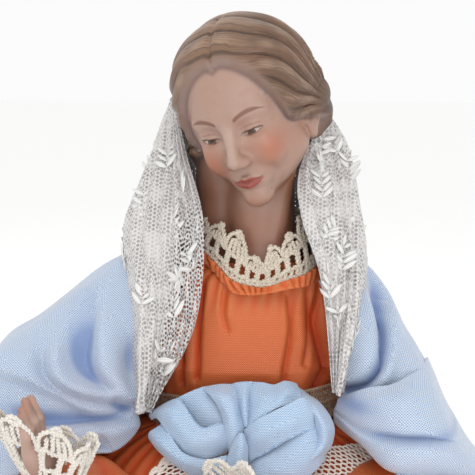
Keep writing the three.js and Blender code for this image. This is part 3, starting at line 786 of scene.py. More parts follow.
def head_paint(p, colours):
    """Colour of every point of the head, and how much of it is hair."""
    x, y, z = np.abs(p[:, 0]), p[:, 1], p[:, 2]
    hair = ramp(-0.25, 0.5, skin_shape(p) - hair_shape(p))
    face = ramp(-6, -11, y)
    world = from_head(p)
    upper, lower = lid_lines(x)
    inside = (np.abs(x - EYE["x"]) < EYE["half"]) & (z < upper) & (z > lower) & (y < -12)
    iris = np.sqrt((x - EYE["x"]) ** 2 + (z - EYE["z"] + 0.35) ** 2)
    lid = ramp(EYE["half"] + 0.5, EYE["half"] - 0.4, np.abs(x - EYE["x"])) * (y < -12)
    brow_z = 2.0 + 1.5 * np.clip(1 - ((x - 7.6) / 5.0) ** 2, -1, 1)
    brow_width = 0.62 * ramp(12.2, 7.5, x) * ramp(2.3, 3.3, x) + 0.05
    brow = ramp(1.25, 0.55, np.abs(z - brow_z) / brow_width)
    paint = mix_paint(np.tile(np.array(colours["skin"][:3]), (len(p), 1)), (
        # Painted shade under the jaw and low on the neck, and on its left a brown for hair at the nape and
        # painted shade
        ("#B07D62", ramp(-15, -23, z) * (1 - face * 0.8)),
        ("#C08870", ramp(152, 143, world[:, 2]) * 0.75),
        ("#9A6A53", ramp(3.0, -7.0, world[:, 0]) * ramp(166, 158, world[:, 2]) * 0.6),
        # Cheeks, chin, lids, a painted highlight down the ridge of the nose, and the nose's wings
        ("#E08560", 0.72 * spot(x, 9.8, 4.6) * spot(z, -8.8, 5.0)),
        ("#D98A70", 0.35 * spot(x, 0, 3.4) * spot(z, -23.0, 1.9) * face),
        ("#C9A093", 0.5 * spot(x, 6.4, 4.2) * spot(z, 0.2, 1.3) * face),
        ("#F1DCD0", 0.55 * spot(x, 0, 1.3) * ramp(-11.0, -8, z) * ramp(3, 0, z) * face),
        ("#CF7E66", 0.45 * spot(x, 1.5, 0.9) * spot(z, -11.7, 0.6) * face),
        ("#C98F78", ramp(0.25, 1.1, noise(p, 4.0, 8) + 0.5 * noise(p, 1.7, 9)) * 0.28),
        # Lips, the line between them and the brows
        ("#BC5C50", ramp(0.25, -0.2, lip_distance(x, z)) * face * 0.95),
        ("#7C342F", spot(z - 0.02 * x ** 2, LIP_LINE_Z, 0.17) * ramp(5.0, 4.2, x) * face * 0.85),
        ("#8A563C", brow * ramp(2.4, 3.1, x) * ramp(12.2, 11.2, x) * face * 0.85),
        # The eye's white, iris and pupil, and the lines of the lids
        ("#E4D8CE", ramp(0, 0.15, np.minimum(upper - z, z - lower)) * inside * 0.9),
        ("#5C5046", ramp(1.42, 1.22, iris) * inside),
        ("#2A2220", ramp(0.68, 0.5, iris) * inside),
        ("#4A3128", spot(z, upper + 0.06, 0.2) * lid * 0.95),
        ("#A5695A", spot(z, lower - 0.05, 0.18) * lid * 0.6),
        ("#A9786A", spot(z, upper + 1.35, 0.2) * lid * 0.55),
    ))
    locks, strands, clear = locks_at(p)
    depth = hair_depth(p)
    band = ramp(3.6, 1.6, depth) * ramp(10, 4, y) * ramp(-20, -12, z)
    combed = clear * (1 - band)
    # Where the hair lies between the locks and the strands, for painted shade
    between = (1 - ramp(0.15, 0.45, locks)) * 0.85 + (1 - ramp(0.2, 0.5, strands)) * 0.22
    brown = mix_paint(np.tile(np.array(colours["hair"][:3]), (len(p), 1)), (
        # Painted shade on the sides and between the locks, and a painted highlight on the locks' crests
        ("#553A27", ramp(5, 15, x) * 0.6),
        ("#3C281B", combed * between),
        ("#A58A74", combed * ramp(0.7, 1.0, locks) * (0.4 + 0.45 * noise(p, 4.0, 4))),
        ("#8D7A74", band * (0.66 + 0.2 * noise(p, 2.5, 14))),
    ))
    paint = paint * PAINT_AGE
    paint = paint + (brown - paint) * hair[:, None]
    seam = spot(depth, 0.25, 0.5) * ramp(9, 2, y) * ramp(-20, -12, z)
    return mix_paint(paint, [("#64504E", seam * 0.75)]), hair * (1 - 0.9 * band)


def lip_distance(x, z):
    """How far a point of the face lies outside the painted lips, in mm."""
    half = 4.7
    share = np.clip(x / half, 0, 1)
    bow = 1.15 * (1 - share ** 1.6) + 0.35 * np.exp(-((x - 1.5) / 1.0) ** 2) - 0.25 * np.exp(-(x / 0.7) ** 2)
    top = LIP_LINE_Z + bow
    bottom = LIP_LINE_Z - 1.95 * (1 - share ** 2.2)
    return np.maximum(np.maximum(z - top, bottom - z), x - half)


def head_blobs():
    """The rough forms that the head is started from."""
    blobs = [
        blob((0, 3, 4), (20.5, 22.2, 21.8)),
        blob((0, -4.5, -5), (15, 16, 20.5)),
        blob((0, -20.5, -7.5), (2.4, 4.4, 4.6)),
        blob((0, -20.4, -10.0), (3.8, 2.2, 1.6)),
        blob((0, -16.2, -16.4), (6.2, 4.1, 4.4)),
        blob((0, -16.0, -22.3), (4.4, 3.7, 3.4)),
        blob((0, 18.5, -6), (10.5, 8, 10)),
        blob((0, -14.5, -21.5), (5, 5, 4.2)),
        blob((-16.4, 2.5, -14), (5.8, 7.2, 11)),
        rod_blob((0, 4, -8), in_head(NECK_FOOT), 9.5, 9.8, 24),
        rod_blob(*in_head(NECK_BEHIND), 9.4, 8.6),
        blob(in_head(CHEST), (15.6, 12, 7.6), HEAD_TURN.T),
    ]
    blobs += [blob(lump, (5.2, 7.4, 4.2)) for lump in SIDE_LOCKS]
    for side in (-1, 1):
        blobs.append(blob((13.2 * side, 6, -7.5), (5, 9, 11)))
        blobs.append(blob((16.8 * side, 1.4, -8.0), (2.6, 3.8, 6.8)))
        blobs.append(rod_blob((0, -13.6, -21.4), (10.2 * side, -1.8, -14.2), 3.4, 3.9))
    return blobs


def needs_fine_faces(p):
    """True round the eyes, the brows, the nose and the lips."""
    x, y, z = np.abs(p[:, 0]), p[:, 1], p[:, 2]
    eye = (np.abs(x - EYE["x"]) < 4.2) & (np.abs(z - EYE["z"]) < 2.6)
    brow = (np.abs(z - 2.9) < 1.5) & (x < 12.6) & (x > 2.0)
    lips = (x < 5.6) & (np.abs(z + 16.7) < 2.8)
    nose = (x < 3.2) & (np.abs(z + 11.2) < 1.3)
    return (y < -9) & (eye | brow | lips | nose)


def clay_object(name, points, faces, strands, paint, hair):
    """A sculpted piece of painted clay; strands are the streaks' coordinates of every point."""
    paint = np.concatenate([paint, np.ones((len(paint), 1))], axis=1)
    corners = np.concatenate(faces)
    return new_object(name, points, faces, painted_terracotta(), strands[corners], paint=paint, hair=hair)


def make_head(colours):
    """The head, with hair, face, ears and neck in one piece down to the plate of the chest."""
    points, faces = sculpt(head_shape, head_blobs(), HEAD_VOXEL, needs_fine_faces)
    strands = np.stack(strand_place(points), axis=1)
    return clay_object("head_and_neck_painted", from_head(points), faces, strands,
                       *head_paint(points, colours))


def laid_uv(points, faces):
    """Corner uvs in mm that keep a weave at its size: each face lies along one of a few directions."""
    corners = points[np.asarray(faces)]
    normal = unit(np.cross(corners[:, 2] - corners[:, 0], corners[:, 3] - corners[:, 1]))
    turn = np.round(np.arctan2(normal[:, 0], -normal[:, 1]) / (math.pi / 4)) * (math.pi / 4)
    lean = np.round(np.arcsin(np.clip(normal[:, 2], -1, 1)) / (math.pi / 6)) * (math.pi / 6)
    side = np.stack([np.cos(turn), np.sin(turn), 0 * turn], axis=1)
    out = np.stack([np.sin(turn) * np.cos(lean), -np.cos(turn) * np.cos(lean), np.sin(lean)], axis=1)
    up = np.cross(out, side)
    return np.stack([np.einsum("nki,ni->nk", corners, side), np.einsum("nki,ni->nk", corners, up)], axis=2)


def new_tree(name, *inputs):
    """A tree of geometry nodes from one geometry and these more inputs to another geometry."""
    tree = bpy.data.node_groups.new(name, "GeometryNodeTree")
    for label, kind in (("Geometry", "Geometry"),) + inputs:
        tree.interface.new_socket(label, in_out="INPUT", socket_type="NodeSocket" + kind)
    tree.interface.new_socket("Geometry", in_out="OUTPUT", socket_type="NodeSocketGeometry")
    return tree, tree.nodes.new("NodeGroupInput").outputs


def cords_tree():
    """Geometry nodes that turn the edges of a mesh into round cords."""
    inputs = (("Radius", "Float"), ("Sides", "Int"), ("Material", "Material"))
    tree, given = new_tree("cords along edges", *inputs)
    profile = add(tree, "CurvePrimitiveCircle", {"Resolution": given["Sides"], "Radius": given["Radius"]})
    lines = add(tree, "MeshToCurve", [given["Geometry"]])
    cords = add(tree, "CurveToMesh", {"Curve": lines, "Profile Curve": profile, "Fill Caps": True})
    real = add(tree, "RealizeInstances", [add(tree, "SetShadeSmooth", [cords])])
    painted = add(tree, "SetMaterial", {"Geometry": real, "Material": given["Material"]})
    add(tree, "NodeGroupOutput", {"Geometry": painted})
    return tree


def set_inputs(modifier, **values):
    """Sets a geometry nodes modifier's inputs by the names that its tree gives them."""
    modifier.show_viewport = False
    for socket in modifier.node_group.interface.items_tree:
        if socket.item_type == "SOCKET" and socket.in_out == "INPUT" and socket.name in values:
            modifier[socket.identifier] = values[socket.name]
    modifier.show_viewport = True


def cord_object(name, paths, radius, sides, material):
    """An object of round cords along the paths, which are arrays of points in mm."""
    edges, start = [], 0
    for path in paths:
        edges += [(start + step, start + step + 1) for step in range(len(path) - 1)]
        start += len(path)
    mesh = bpy.data.meshes.new(name)
    mesh.from_pydata((np.concatenate(paths) * MM).tolist(), edges, [])
    made = linked(name, mesh)
    nodes = made.modifiers.new("cords", "NODES")
    nodes.node_group = bpy.data.node_groups.get("cords along edges") or cords_tree()
    set_inputs(nodes, Radius=radius * MM, Sides=sides, Material=material)
    plain_copy(made)
    return made


def twisted(path, spread, pitch, step=0.45, start=0.0):
    """The two strands of a cord that wind round a path of points in mm."""
    path = np.asarray(path, float)
    lengths = np.concatenate([[0], np.cumsum(np.linalg.norm(np.diff(path, axis=0), axis=1))])
    count = max(3, int(lengths[-1] / step) + 1)
    at = np.linspace(0, lengths[-1], count)
    middle = np.stack([np.interp(at, lengths, path[:, axis]) for axis in range(3)], axis=1)
    forward = unit(np.gradient(middle, axis=0))
    side = unit(np.cross(forward, [0.21, 0.93, 0.3]))
    other = np.cross(forward, side)
    made = []
    for half_turn in (0, 0.5):
        angle = (at / pitch + half_turn + start)[:, None] * 2 * math.pi
        made.append(middle + spread * (np.cos(angle) * side + np.sin(angle) * other))
    return made


def crochet_paths(surface, cells, seed):
    """Paths of a crochet frill over surface(u, v): dense rows at its foot, holes and a scalloped top.

    The surface is closed along u, from 0 to 1, and v goes up from the foot. A scallop is two cells wide.
    """
    chance = np.random.default_rng(seed)
    paths = []

    def line(u, v):
        return surface(np.asarray(u, float) / cells, np.asarray(v, float))

    wander = np.linspace(0, cells, cells * 6 + 1)
    for height in (0.02, 0.15, 0.29, 0.6):
        wave = 0.022 * np.sin(2 * math.pi * wander + 9 * height)
        drift = 0.02 * np.sin(math.pi * 6 * wander / cells + 20 * height)
        paths.append(line(wander, height + wave + drift))
    for cell in range(cells):
        shift = chance.uniform(-0.09, 0.09, 10)
        for number in range(4):
            row, part = divmod(number, 2)
            u = cell + part / 2 + 0.25 * row + shift[number]
            low = 0.03 + 0.13 * row
            paths.append(line([u - 0.1, u + 0.08, u - 0.02], [low, low + 0.07, low + 0.14]))
        u = cell + shift[4]
        lean = 0.2 + shift[5]
        paths.append(line([u, u + lean * 0.4, u + lean], [0.28, 0.45, 0.61]))
        paths.append(line([u + 0.14, u + 0.14 + lean * 0.4, u + 0.2 + lean], [0.28, 0.44, 0.61]))
    for cell in range(0, cells, 2):
        shift = chance.uniform(-0.08, 0.08, 6)
        top = 0.93 + shift[0]
        arch = np.linspace(0, 1, 13)
        u = cell + 1 - np.cos(math.pi * arch) * (0.98 + shift[1])
        paths.append(line(u, 0.6 + (top - 0.6) * np.sin(math.pi * arch) ** 0.8))
        ring = np.linspace(0.1, 1.1, 11) * 2 * math.pi
        paths.append(line(cell + 1 + shift[2] + 0.27 * np.sin(ring), top + 0.01 + 0.06 * np.cos(ring)))
        for foot, head in ((0.35, 0.55), (0.75, 0.85), (1.2, 1.12), (1.65, 1.45)):
            u = [cell + foot, cell + (foot + head) / 2 + shift[3], cell + head]
            paths.append(line(u, [0.61, 0.7, top - 0.09 - 0.25 * (head - 1) ** 2]))
    return paths


def crochet_object(name, surface, cells, radius, seed, material):
    """A crochet frill of two-strand cotton over a surface."""
    strands = []
    for number, path in enumerate(crochet_paths(surface, cells, seed)):
        strands += twisted(path, radius * 0.85, radius * 5.5, 0.5, number * 0.37)
    return cord_object(name, strands, radius, 6, material)


# Folds of the mantle seen from the front: the line in x and z, the height in mm (below zero for a hollow),
# and its reach on the right or upper side and on the other
MANTLE_FOLDS = (
    (((-35, 127), (-35.3, 111), (-33, 104), (-27, 97.7)), 2.6, 5.0, 1.3),
    (((-28.7, 118), (-27.8, 103.5), (-26.6, 99)), -1.8, 2.2, 2.2),
    (((-38.4, 121), (-39, 111), (-35.7, 104.7), (-28.0, 98.5)), -3.4, 1.8, 5.0),
    (((-46.5, 118), (-45, 108), (-40.9, 103.5), (-32, 100.5), (-27, 97.7)), 3.2, 1.9, 2.2),
    (((-51, 114), (-48.8, 106), (-41, 101), (-28.6, 97.9)), -2.8, 1.7, 2.0),
    (((-72, 103), (-62, 106.5), (-55.7, 106.3), (-47.8, 103.2), (-38, 98.6), (-30, 96.9), (-27, 97)),
     4.0, 7.0, 1.5),
    (((-60, 98), (-47.9, 95.9), (-34, 95.3), (-27.3, 97)), -3.6, 1.8, 2.2),
    (((-54, 91.5), (-42.4, 92.8), (-34, 93), (-28, 95)), 3.6, 3.0, 4.0),
    (((-33, 101), (-29, 98.5), (-26.5, 97.4)), -2.4, 1.6, 1.6),
    (((33, 131), (35.5, 125), (37.2, 118.4), (37.2, 112), (35.5, 108), (32.8, 104.8), (27.6, 103)),
     -3.8, 1.4, 1.3),
    (((35, 130), (38, 125), (39.5, 118.5), (39.8, 112), (38, 107), (34, 103.5)), 1.2, 1.8, 2.0),
    (((31, 127), (33, 119), (32.7, 111), (29, 104.7)), 1.1, 3.0, 4.0),
)
# The lobe of the mantle over the left forearm, row by row from its upper lip to the turned-in lower edge
MANTLE_LOBE = (
    ((26.1, -25, 101), (33.8, -31, 105.4), (39.8, -31, 106.3), (44.4, -27, 108.1), (47.3, -20, 108.7),
     (48.8, -12, 109.4), (50.2, -3, 104.7)),
    ((25.9, -26, 99.9), (32.3, -33, 102.2), (39.3, -37, 103.3), (45.3, -36, 104.5), (50.4, -30, 104.5),
     (52.9, -18, 100.9), (54.4, -6, 96.2)),
    ((25.4, -26, 98.8), (32.4, -34, 97.3), (40.6, -40, 97), (48, -41, 97.2), (54.3, -36, 95.2),
     (57.7, -24, 91.7), (60.2, -10, 87)),
    ((25.1, -25, 97.8), (32.4, -33, 94.7), (40.9, -38, 94.7), (49.3, -39, 94.9), (55.9, -35, 92.5),
     (60.2, -25, 88.3), (63.2, -12, 83.8)),
    ((25.1, -25, 96.7), (32.5, -35, 93.7), (40.7, -42, 92.7), (49.2, -43, 92.4), (57.3, -38, 90),
     (62.7, -27, 85.3), (66.3, -14, 80.1)),
    ((25.1, -24, 95.1), (33, -33, 91.1), (38.8, -41, 88.1), (46.4, -42, 87.8), (55.9, -38, 86.6),
     (63.2, -28, 81.9), (67.4, -16, 76.4)),
    ((25, -21, 93.9), (33.4, -28, 88.7), (39.6, -34, 84.8), (47.1, -35, 84.2), (56.2, -32, 83.1),
     (63.8, -24, 78.6), (68.1, -14, 73.6)),
)
# The folded and knotted sash, fold by fold, each row by row
SASH_FOLDS = {
    "left loop back": (
        ((-3.7, -26, 104), (-8, -27.5, 104), (-11.8, -28, 102.7), (-14.9, -28, 101.1), (-18.5, -26.5, 99.3),
         (-21.7, -24, 96.5)),
        ((-1.8, -30, 100.8), (-5.6, -31, 100.4), (-9.2, -31, 99.3), (-12.6, -30, 97.7), (-17.1, -27.5, 96.7),
         (-21.2, -24, 95.2)),
        ((1.5, -33, 95.9), (-2.6, -33, 95.8), (-6.7, -32.5, 94.8), (-9.9, -31.5, 94.2), (-14.3, -29, 93.4),
         (-19, -25, 93.4)),
    ),
    "left loop front": (
        ((1, -33, 93.8), (-2.9, -35, 96.3), (-8.1, -36, 95.6), (-11.6, -34.5, 99.3), (-14.2, -31.5, 101.7),
         (-18.3, -28, 99.4), (-21.3, -25, 97)),
        ((0.4, -34.5, 91.8), (-4.7, -37.5, 93), (-9.7, -38, 92.5), (-13.8, -37, 96.3), (-17, -34, 98.8),
         (-20.2, -29, 97.5), (-22.6, -25, 95.7)),
        ((-0.7, -34, 89.3), (-5.8, -36.5, 87.8), (-11.7, -36, 88), (-15.6, -35, 91.8), (-18.2, -33, 95.2),
         (-20.3, -29, 95.9), (-22.1, -25, 94.4)),
    ),
    "left lip": (
        ((-18.4, -31, 94.9), (-15.6, -35.5, 92.7), (-12.3, -37.5, 89.2), (-6.9, -38, 87.9),
         (-1.2, -37, 88.8)),
        ((-21.8, -31, 92.7), (-18.6, -35.5, 91.1), (-14.3, -37.5, 87.8), (-8.1, -38.5, 85.7),
         (-1.6, -38, 86.2)),
        ((-22.5, -28, 90.3), (-19.6, -32, 88.3), (-14.7, -34.5, 85.2), (-8.4, -36, 82.6), (-1.8, -36, 82.5)),
        ((-22, -24, 88.7), (-19.4, -26, 86.1), (-14.5, -28, 82.5), (-8.6, -30, 79.8), (-2.2, -31, 79.5)),
    ),
    "strap": (
        ((-9.3, -27, 103.6), (-6.1, -28.5, 104.7), (-3.4, -29, 105.1), (-0.7, -28, 105)),
        ((-6, -32, 102.7), (-3.5, -34, 103.3), (-1.2, -34, 103.3), (0.6, -31.5, 102.8)),
        ((-3.2, -34, 98.9), (-1.5, -36.5, 99.3), (0.1, -36.5, 99.6), (1.6, -34, 99.2)),
        ((-1.9, -35, 92.9), (-0.4, -37.5, 93.6), (1.2, -37.5, 94.9), (3, -35, 95.6)),
        ((-0.9, -34.5, 88.4), (0.1, -36.5, 89.5), (1.3, -36.5, 91.1), (3, -35, 92.8)),
    ),
    "second fold": (
        ((-1, -27.5, 104.9), (0.7, -29, 105.7), (2.5, -29.5, 106), (4.2, -28.5, 105.9)),
        ((0.6, -31, 102.4), (2, -33, 103.1), (3, -33, 103.4), (3.9, -31, 102.7)),
        ((1.8, -33.5, 99.4), (2.7, -35.5, 99.9), (3.3, -35.5, 99.9), (3.9, -33.5, 99.4)),
        ((3, -35, 95.6), (3.3, -36, 95.9), (3.6, -36, 95.9), (3.7, -35, 95.6)),
    ),
    "top fold": (
        ((3.4, -27.5, 105.5), (6.9, -30, 106), (10, -30.5, 105.6), (12.7, -30, 106.4), (15.4, -27.5, 105.3)),
        ((3.9, -31.5, 102.6), (7.2, -34.5, 103.3), (10.3, -35, 103.5), (13.5, -34, 104.7),
         (16.3, -29, 104.1)),
        ((3.9, -34, 99.5), (6.1, -36.5, 99.9), (8.9, -37, 101.2), (12.4, -36, 102.8), (16.9, -31, 102.7)),
        ((3.5, -35.5, 95.5), (5.1, -37, 97), (7.9, -37.5, 99.2), (11.9, -37, 101.5), (17.2, -33, 101.9)),
    ),
    "right loop": (
        ((14.8, -26, 104.4), (16.7, -32, 101.7), (19.1, -34, 99.1), (20.4, -34.5, 96.1), (20.9, -34.5, 93.3),
         (20.4, -35, 91.1), (18, -36.5, 89.1), (13.2, -37, 86.3)),
        ((16.4, -26, 103.6), (19.2, -32.5, 101.8), (21.6, -35.5, 99.5), (23, -36.5, 96.5), (23, -36.5, 92.9),
         (21.8, -37, 90.4), (18.8, -38, 88), (13.8, -38, 84.8)),
        ((17.6, -24.5, 102.2), (21.1, -28.5, 100.9), (23.7, -30.5, 98.3), (25.1, -31.5, 95),
         (24.9, -32, 91.4), (23.1, -33, 88.5), (19.7, -34.5, 85.5), (14.4, -35, 81.6)),
    ),
    "lower body": (
        ((3.7, -35, 88.4), (7.4, -36.5, 90.2), (10.9, -37, 92.2), (15, -37, 94.6), (18.4, -36, 96.2),
         (20.4, -34.5, 96.9)),
        ((3.9, -37, 85.5), (8.1, -39, 87.5), (12.1, -39.5, 89.3), (16.1, -39, 91.3), (19.3, -37.5, 93),
         (21.4, -35.5, 93.3)),
        ((3.7, -37.5, 82), (8.4, -40, 83.9), (12.9, -40.5, 85.5), (17.1, -39.5, 87.4), (20.3, -37.5, 89.5),
         (22.4, -34.5, 90.5)),
        ((3.3, -36, 78.2), (8.3, -39, 79.8), (13.2, -39.5, 81.1), (17.4, -38.5, 82.9), (20.8, -36, 85.2),
         (23.1, -33, 87.5)),
    ),
    "diagonal band": (
        ((2.8, -36, 95.1), (5.5, -38, 97.7), (8.5, -38.5, 99.7), (13, -38, 102), (17.1, -35, 103.4),
         (19.3, -33, 102.2)),
        ((3.7, -38, 91.8), (6.6, -40, 94.4), (10.2, -40.5, 96.4), (14.6, -39.5, 98.3), (18.2, -37, 100.1),
         (20.1, -35, 99.6)),
        ((4.4, -37.5, 87.5), (7.6, -39, 89.8), (10.6, -39.5, 91.8), (14.8, -39, 94.4), (18.5, -37, 95.5),
         (20.4, -35, 95.8)),
    ),
    "small fold": (
        ((1.7, -38, 94.6), (2, -39, 95.1), (2.6, -39.5, 95.2), (3, -38, 94.6)),
        ((0.2, -38, 91.4), (1.4, -40.5, 92.1), (2.7, -41, 92), (3.8, -38.5, 91.1)),
        ((-1.1, -37.5, 87.9), (0.7, -41, 88.4), (2.5, -41.5, 88.1), (4, -38.5, 86.8)),
        ((-2.5, -36.5, 83.7), (-0.1, -40.5, 83.9), (2.2, -41, 83.5), (4, -38, 82.2)),
    ),
}


def fold_height(place, line, height, reach_right, reach_left):
    """Height that one fold adds at points given by x and z in mm."""
    line = np.asarray(line, float)
    nearest = np.full(len(place), 1e9)
    side = np.zeros(len(place))
    run = np.zeros(len(place))
    count = len(line) - 1
    for number in range(count):
        start, step = line[number], line[number + 1] - line[number]
        share = np.clip((place - start) @ step / (step @ step), 0, 1)
        away = place - start - share[:, None] * step
        distance = np.linalg.norm(away, axis=1)
        closer = distance < nearest
        cross = step[0] * away[:, 1] - step[1] * away[:, 0]
        side = np.where(closer, cross, side)
        run = np.where(closer, (number + share) / count, run)
        nearest = np.minimum(nearest, distance)
    reach = np.where(side > 0, reach_right, reach_left)
    ends = ramp(-0.02, 0.25, run)
    return height * np.exp(-(nearest / reach) ** 2) * (0.15 + 0.85 * ends)


def press_folds(grid, folds):
    """The grid with folds pressed into its front, and how deep each point lies in a hollow, 0 to 1, for
    painted shade.
    """
    normals = grid_normals(grid)
    outward = np.sign(normals[..., 1:2] * (grid[..., 1:2] - 5) + normals[..., 0:1] * grid[..., 0:1])
    normals = normals * np.where(outward == 0, 1, outward)
    flat = grid.reshape(-1, 3)
    height = np.zeros(len(flat))
    for line, depth, reach_right, reach_left in folds:
        line = along_points(line, np.linspace(0, 1, 4 * len(line)))
        height += fold_height(flat[:, [0, 2]], line, depth, reach_right, reach_left)
    height *= ramp(6, -3, flat[:, 1])
    height = height.reshape(grid.shape[:2])
    return grid + height[..., None] * normals, np.clip(-height / 1.6, 0, 1)


def falling_folds(grid, shares, depth, count, seed):
    """The grid with soft folds that deepen from its first to its last row; shares are its columns' places."""
    u = shares[None, :]
    v = np.linspace(0, 1, len(grid))[:, None]
    place = np.stack([u * count + 0 * v, v * 1.5 + 0 * u, 0 * u * v], axis=2)
    wave = np.sin(2 * math.pi * (u * count + 0.35 * noise(place * 0.6, 1.0, seed)))
    wave = wave + 0.8 * noise(place * 1.4, 1.0, seed + 1)
    out = unit(np.where(np.arange(3) == 2, 0, grid))
    from_edge = np.minimum(u, 1 - u)
    behind = 0.8 * ramp(0.27, 0.42, from_edge)
    fall = v ** 1.1 * ramp(-0.1, 0.3, from_edge) * ((1 + behind) * wave + 2.1 * behind)
    return grid + (depth * fall)[..., None] * out


def cloth_object(name, grids, thickness, cloth, wrap=False, hollows=None):
    """One object of thin sheets over the grids, woven at its true scale, with its hollows marked for painted
    shade.
    """
    points, faces = joined([thin_sheet(grid, thickness, wrap) for grid in grids])
    marks = {}
    # The hollow mark sets where the cloth's colour goes towards painted shade
    if hollows is not None:
        marks["hollow"] = np.concatenate([np.tile(hollow.ravel(), 2) for hollow in hollows])
    return new_object(name, points, faces, cloth, laid_uv(points, faces), **marks)


def crumpled(grid, cell, seed, depth, wrap=False):
    """The grid with low bumps of about the cell's size."""
    return grid + (noise(grid, cell, seed) * depth)[..., None] * grid_normals(grid, wrap)


def uneven_shares(*spans):
    """Shares from 0 to 1 with a count of steps for each span, given as (end, steps)."""
    made, start = [], 0.0
    for end, steps in spans:
        made.append(np.linspace(start, end, steps, endpoint=False))
        start = end
    return np.concatenate(made + [[1.0]])


# The skirt: the height of its hem, how tall it is, its half width and depth at the waist, how far they spread
# and how far it leans forward
SKIRT_HEM = 12.35
SKIRT_TALL = 78.15
SKIRT_WAIST = (24, 18)
SKIRT_SPREAD = (54, 47)
SKIRT_FORWARD = 10


def skirt_section(height):
    """Half width, half depth and way forward of the skirt's oval section, and how full it is."""
    share = np.clip((height - SKIRT_HEM) / SKIRT_TALL, 0, 1)
    full = (1 - share ** 1.6) ** 0.8
    wide = SKIRT_WAIST[0] + SKIRT_SPREAD[0] * (1 - share ** 2.2) ** 0.55
    return wide, SKIRT_WAIST[1] + SKIRT_SPREAD[1] * full, SKIRT_FORWARD * full, full


def skirt_point(angle, height, grow=0.0):
    """A point of the skirt's surface: oval sections that swell towards the hem, with eleven broad folds."""
    wide, deep, forward, full = skirt_section(height)
    out = grow + 1.8 * full * np.sin(11 * angle)
    return np.stack([(wide + out) * np.sin(angle), -forward - (deep + out) * np.cos(angle),
                     height + 0 * angle], axis=-1)


def over_skirt(grid, gap):
    """The grid with every point that is inside the skirt moved out to lie over it, with a gap in mm."""
    wide, deep, forward, _ = skirt_section(grid[..., 2])
    flat = np.stack([grid[..., 0], grid[..., 1] + forward], axis=-1)
    skirt = skirt_point(np.arctan2(flat[..., 0] / wide, -flat[..., 1] / deep), grid[..., 2], gap)
    here = np.maximum(np.hypot(flat[..., 0], flat[..., 1]), 1e-6)
    below_waist = ramp(88, 78, grid[..., 2])
    short = (np.hypot(skirt[..., 0], skirt[..., 1] + forward) - here) * below_waist
    push = 0.5 * (short + np.sqrt(short ** 2 + 2.0)) * ramp(-6, -1, short) * below_waist
    moved = grid.copy()
    moved[..., :2] += (push / here)[..., None] * flat
    return moved


def make_mantle(cloth):
    """The mantle: one sheet round the shoulders with its folds, and the lobe over the left forearm."""
    columns = uneven_shares((0.27, 125), (0.72, 70), (1.0, 105))
    grid = fine_grid(np.transpose(MANTLE_LINES, (1, 0, 2)), np.linspace(0, 1, 122), columns)
    grid = over_skirt(falling_folds(grid, columns, 1.5, 13, 5), 3.2)
    grid, hollow = press_folds(grid, MANTLE_FOLDS)
    lobe = fine_grid(MANTLE_LOBE, np.linspace(0, 1, 74), np.linspace(0, 1, 90))
    lobe = crumpled(lobe, 7.0, 22, 0.25)
    # Painted shade on the lobe: a pit where it turns in, and a band along its lower fold
    x, z = lobe[..., 0], lobe[..., 2]
    pit = spot(x, 30.4, 4.5) * spot(z, 101, 2.0)
    groove = spot(z, 95, 1.3) * ramp(33, 38, x) * ramp(66, 56, x)
    hollows = [hollow, np.maximum(pit, 0.7 * groove)]
    return cloth_object("mantle_blue_cloth", [crumpled(grid, 11.0, 21, 0.35), lobe], MANTLE_THICK, cloth,
                        False, hollows)


def make_sash(cloth, thread_material):
    """The folded sash, with a loose thread along its raw edges."""
    grids = {}
    for number, (name, control) in enumerate(SASH_FOLDS.items()):
        grid = fine_grid(np.array(control, float), np.linspace(0, 1, 44), np.linspace(0, 1, 60))
        bumps = noise(grid, 3.5, 40 + number) * 0.22 + noise(grid, 1.6, 60 + number) * 0.08
        grids[name] = grid + bumps[..., None] * grid_normals(grid)
    threads = []
    for edge in (grids["left loop front"][0], grids["diagonal band"][-1]):
        wander = np.stack([noise(edge, 1.3, 50 + axis) for axis in range(3)], axis=1) * 0.22
        threads += twisted(edge + wander - [0, 0.3, 0], 0.14, 1.1, 0.35)
    made = cloth_object("sash_blue_cloth", list(grids.values()), CLOTH_THICK, cloth)
    return made, cord_object("sash_raw_edge_thread", threads, 0.13, 5, thread_material)


# Sections of the bodice: height, half width, half depth and way forward
BODICE_SECTIONS = ((90.85, 24, 18, 0), (101, 24.5, 18.5, 0), (106, 26.5, 19.5, 0), (120, 26, 18, 0.5),
                   (129.5, 25, 15.5, 2), (134, 18, 11.5, 3))
# Pleats of the bodice in x and z, with height and reach on both sides
BODICE_FOLDS = (
    (((-9.5, 131), (-10.6, 122), (-11.0, 104)), -2.3, 0.7, 1.0),
    (((-13.6, 127), (-15.0, 115), (-15.4, 102)), -2.0, 0.7, 0.9),
    (((-4.0, 129), (-4.5, 122), (-3.2, 117)), -0.9, 0.8, 0.6),
    (((-2.0, 129), (-2.6, 121)), 0.5, 1.2, 1.0),
    (((11.0, 128.5), (12.0, 119.5), (11.7, 114), (10.0, 104)), 0.9, 0.7, 2.5),
    (((12.2, 128), (13.2, 119.5), (12.9, 114), (11.5, 104)), -1.3, 1.2, 0.7),
    (((17.6, 126), (18.0, 118), (17.0, 108)), -1.4, 0.9, 0.8),
    (((21.0, 127), (20.2, 119), (21.4, 112), (22.8, 106), (20.5, 101)), -2.4, 1.0, 1.7),
    (((22.6, 126), (21.6, 119), (24.0, 112), (24.0, 105)), 1.1, 1.6, 1.2),
    (((16.0, 124), (15.8, 117), (17.5, 108), (15.5, 102)), 0.9, 1.6, 2.2),
)


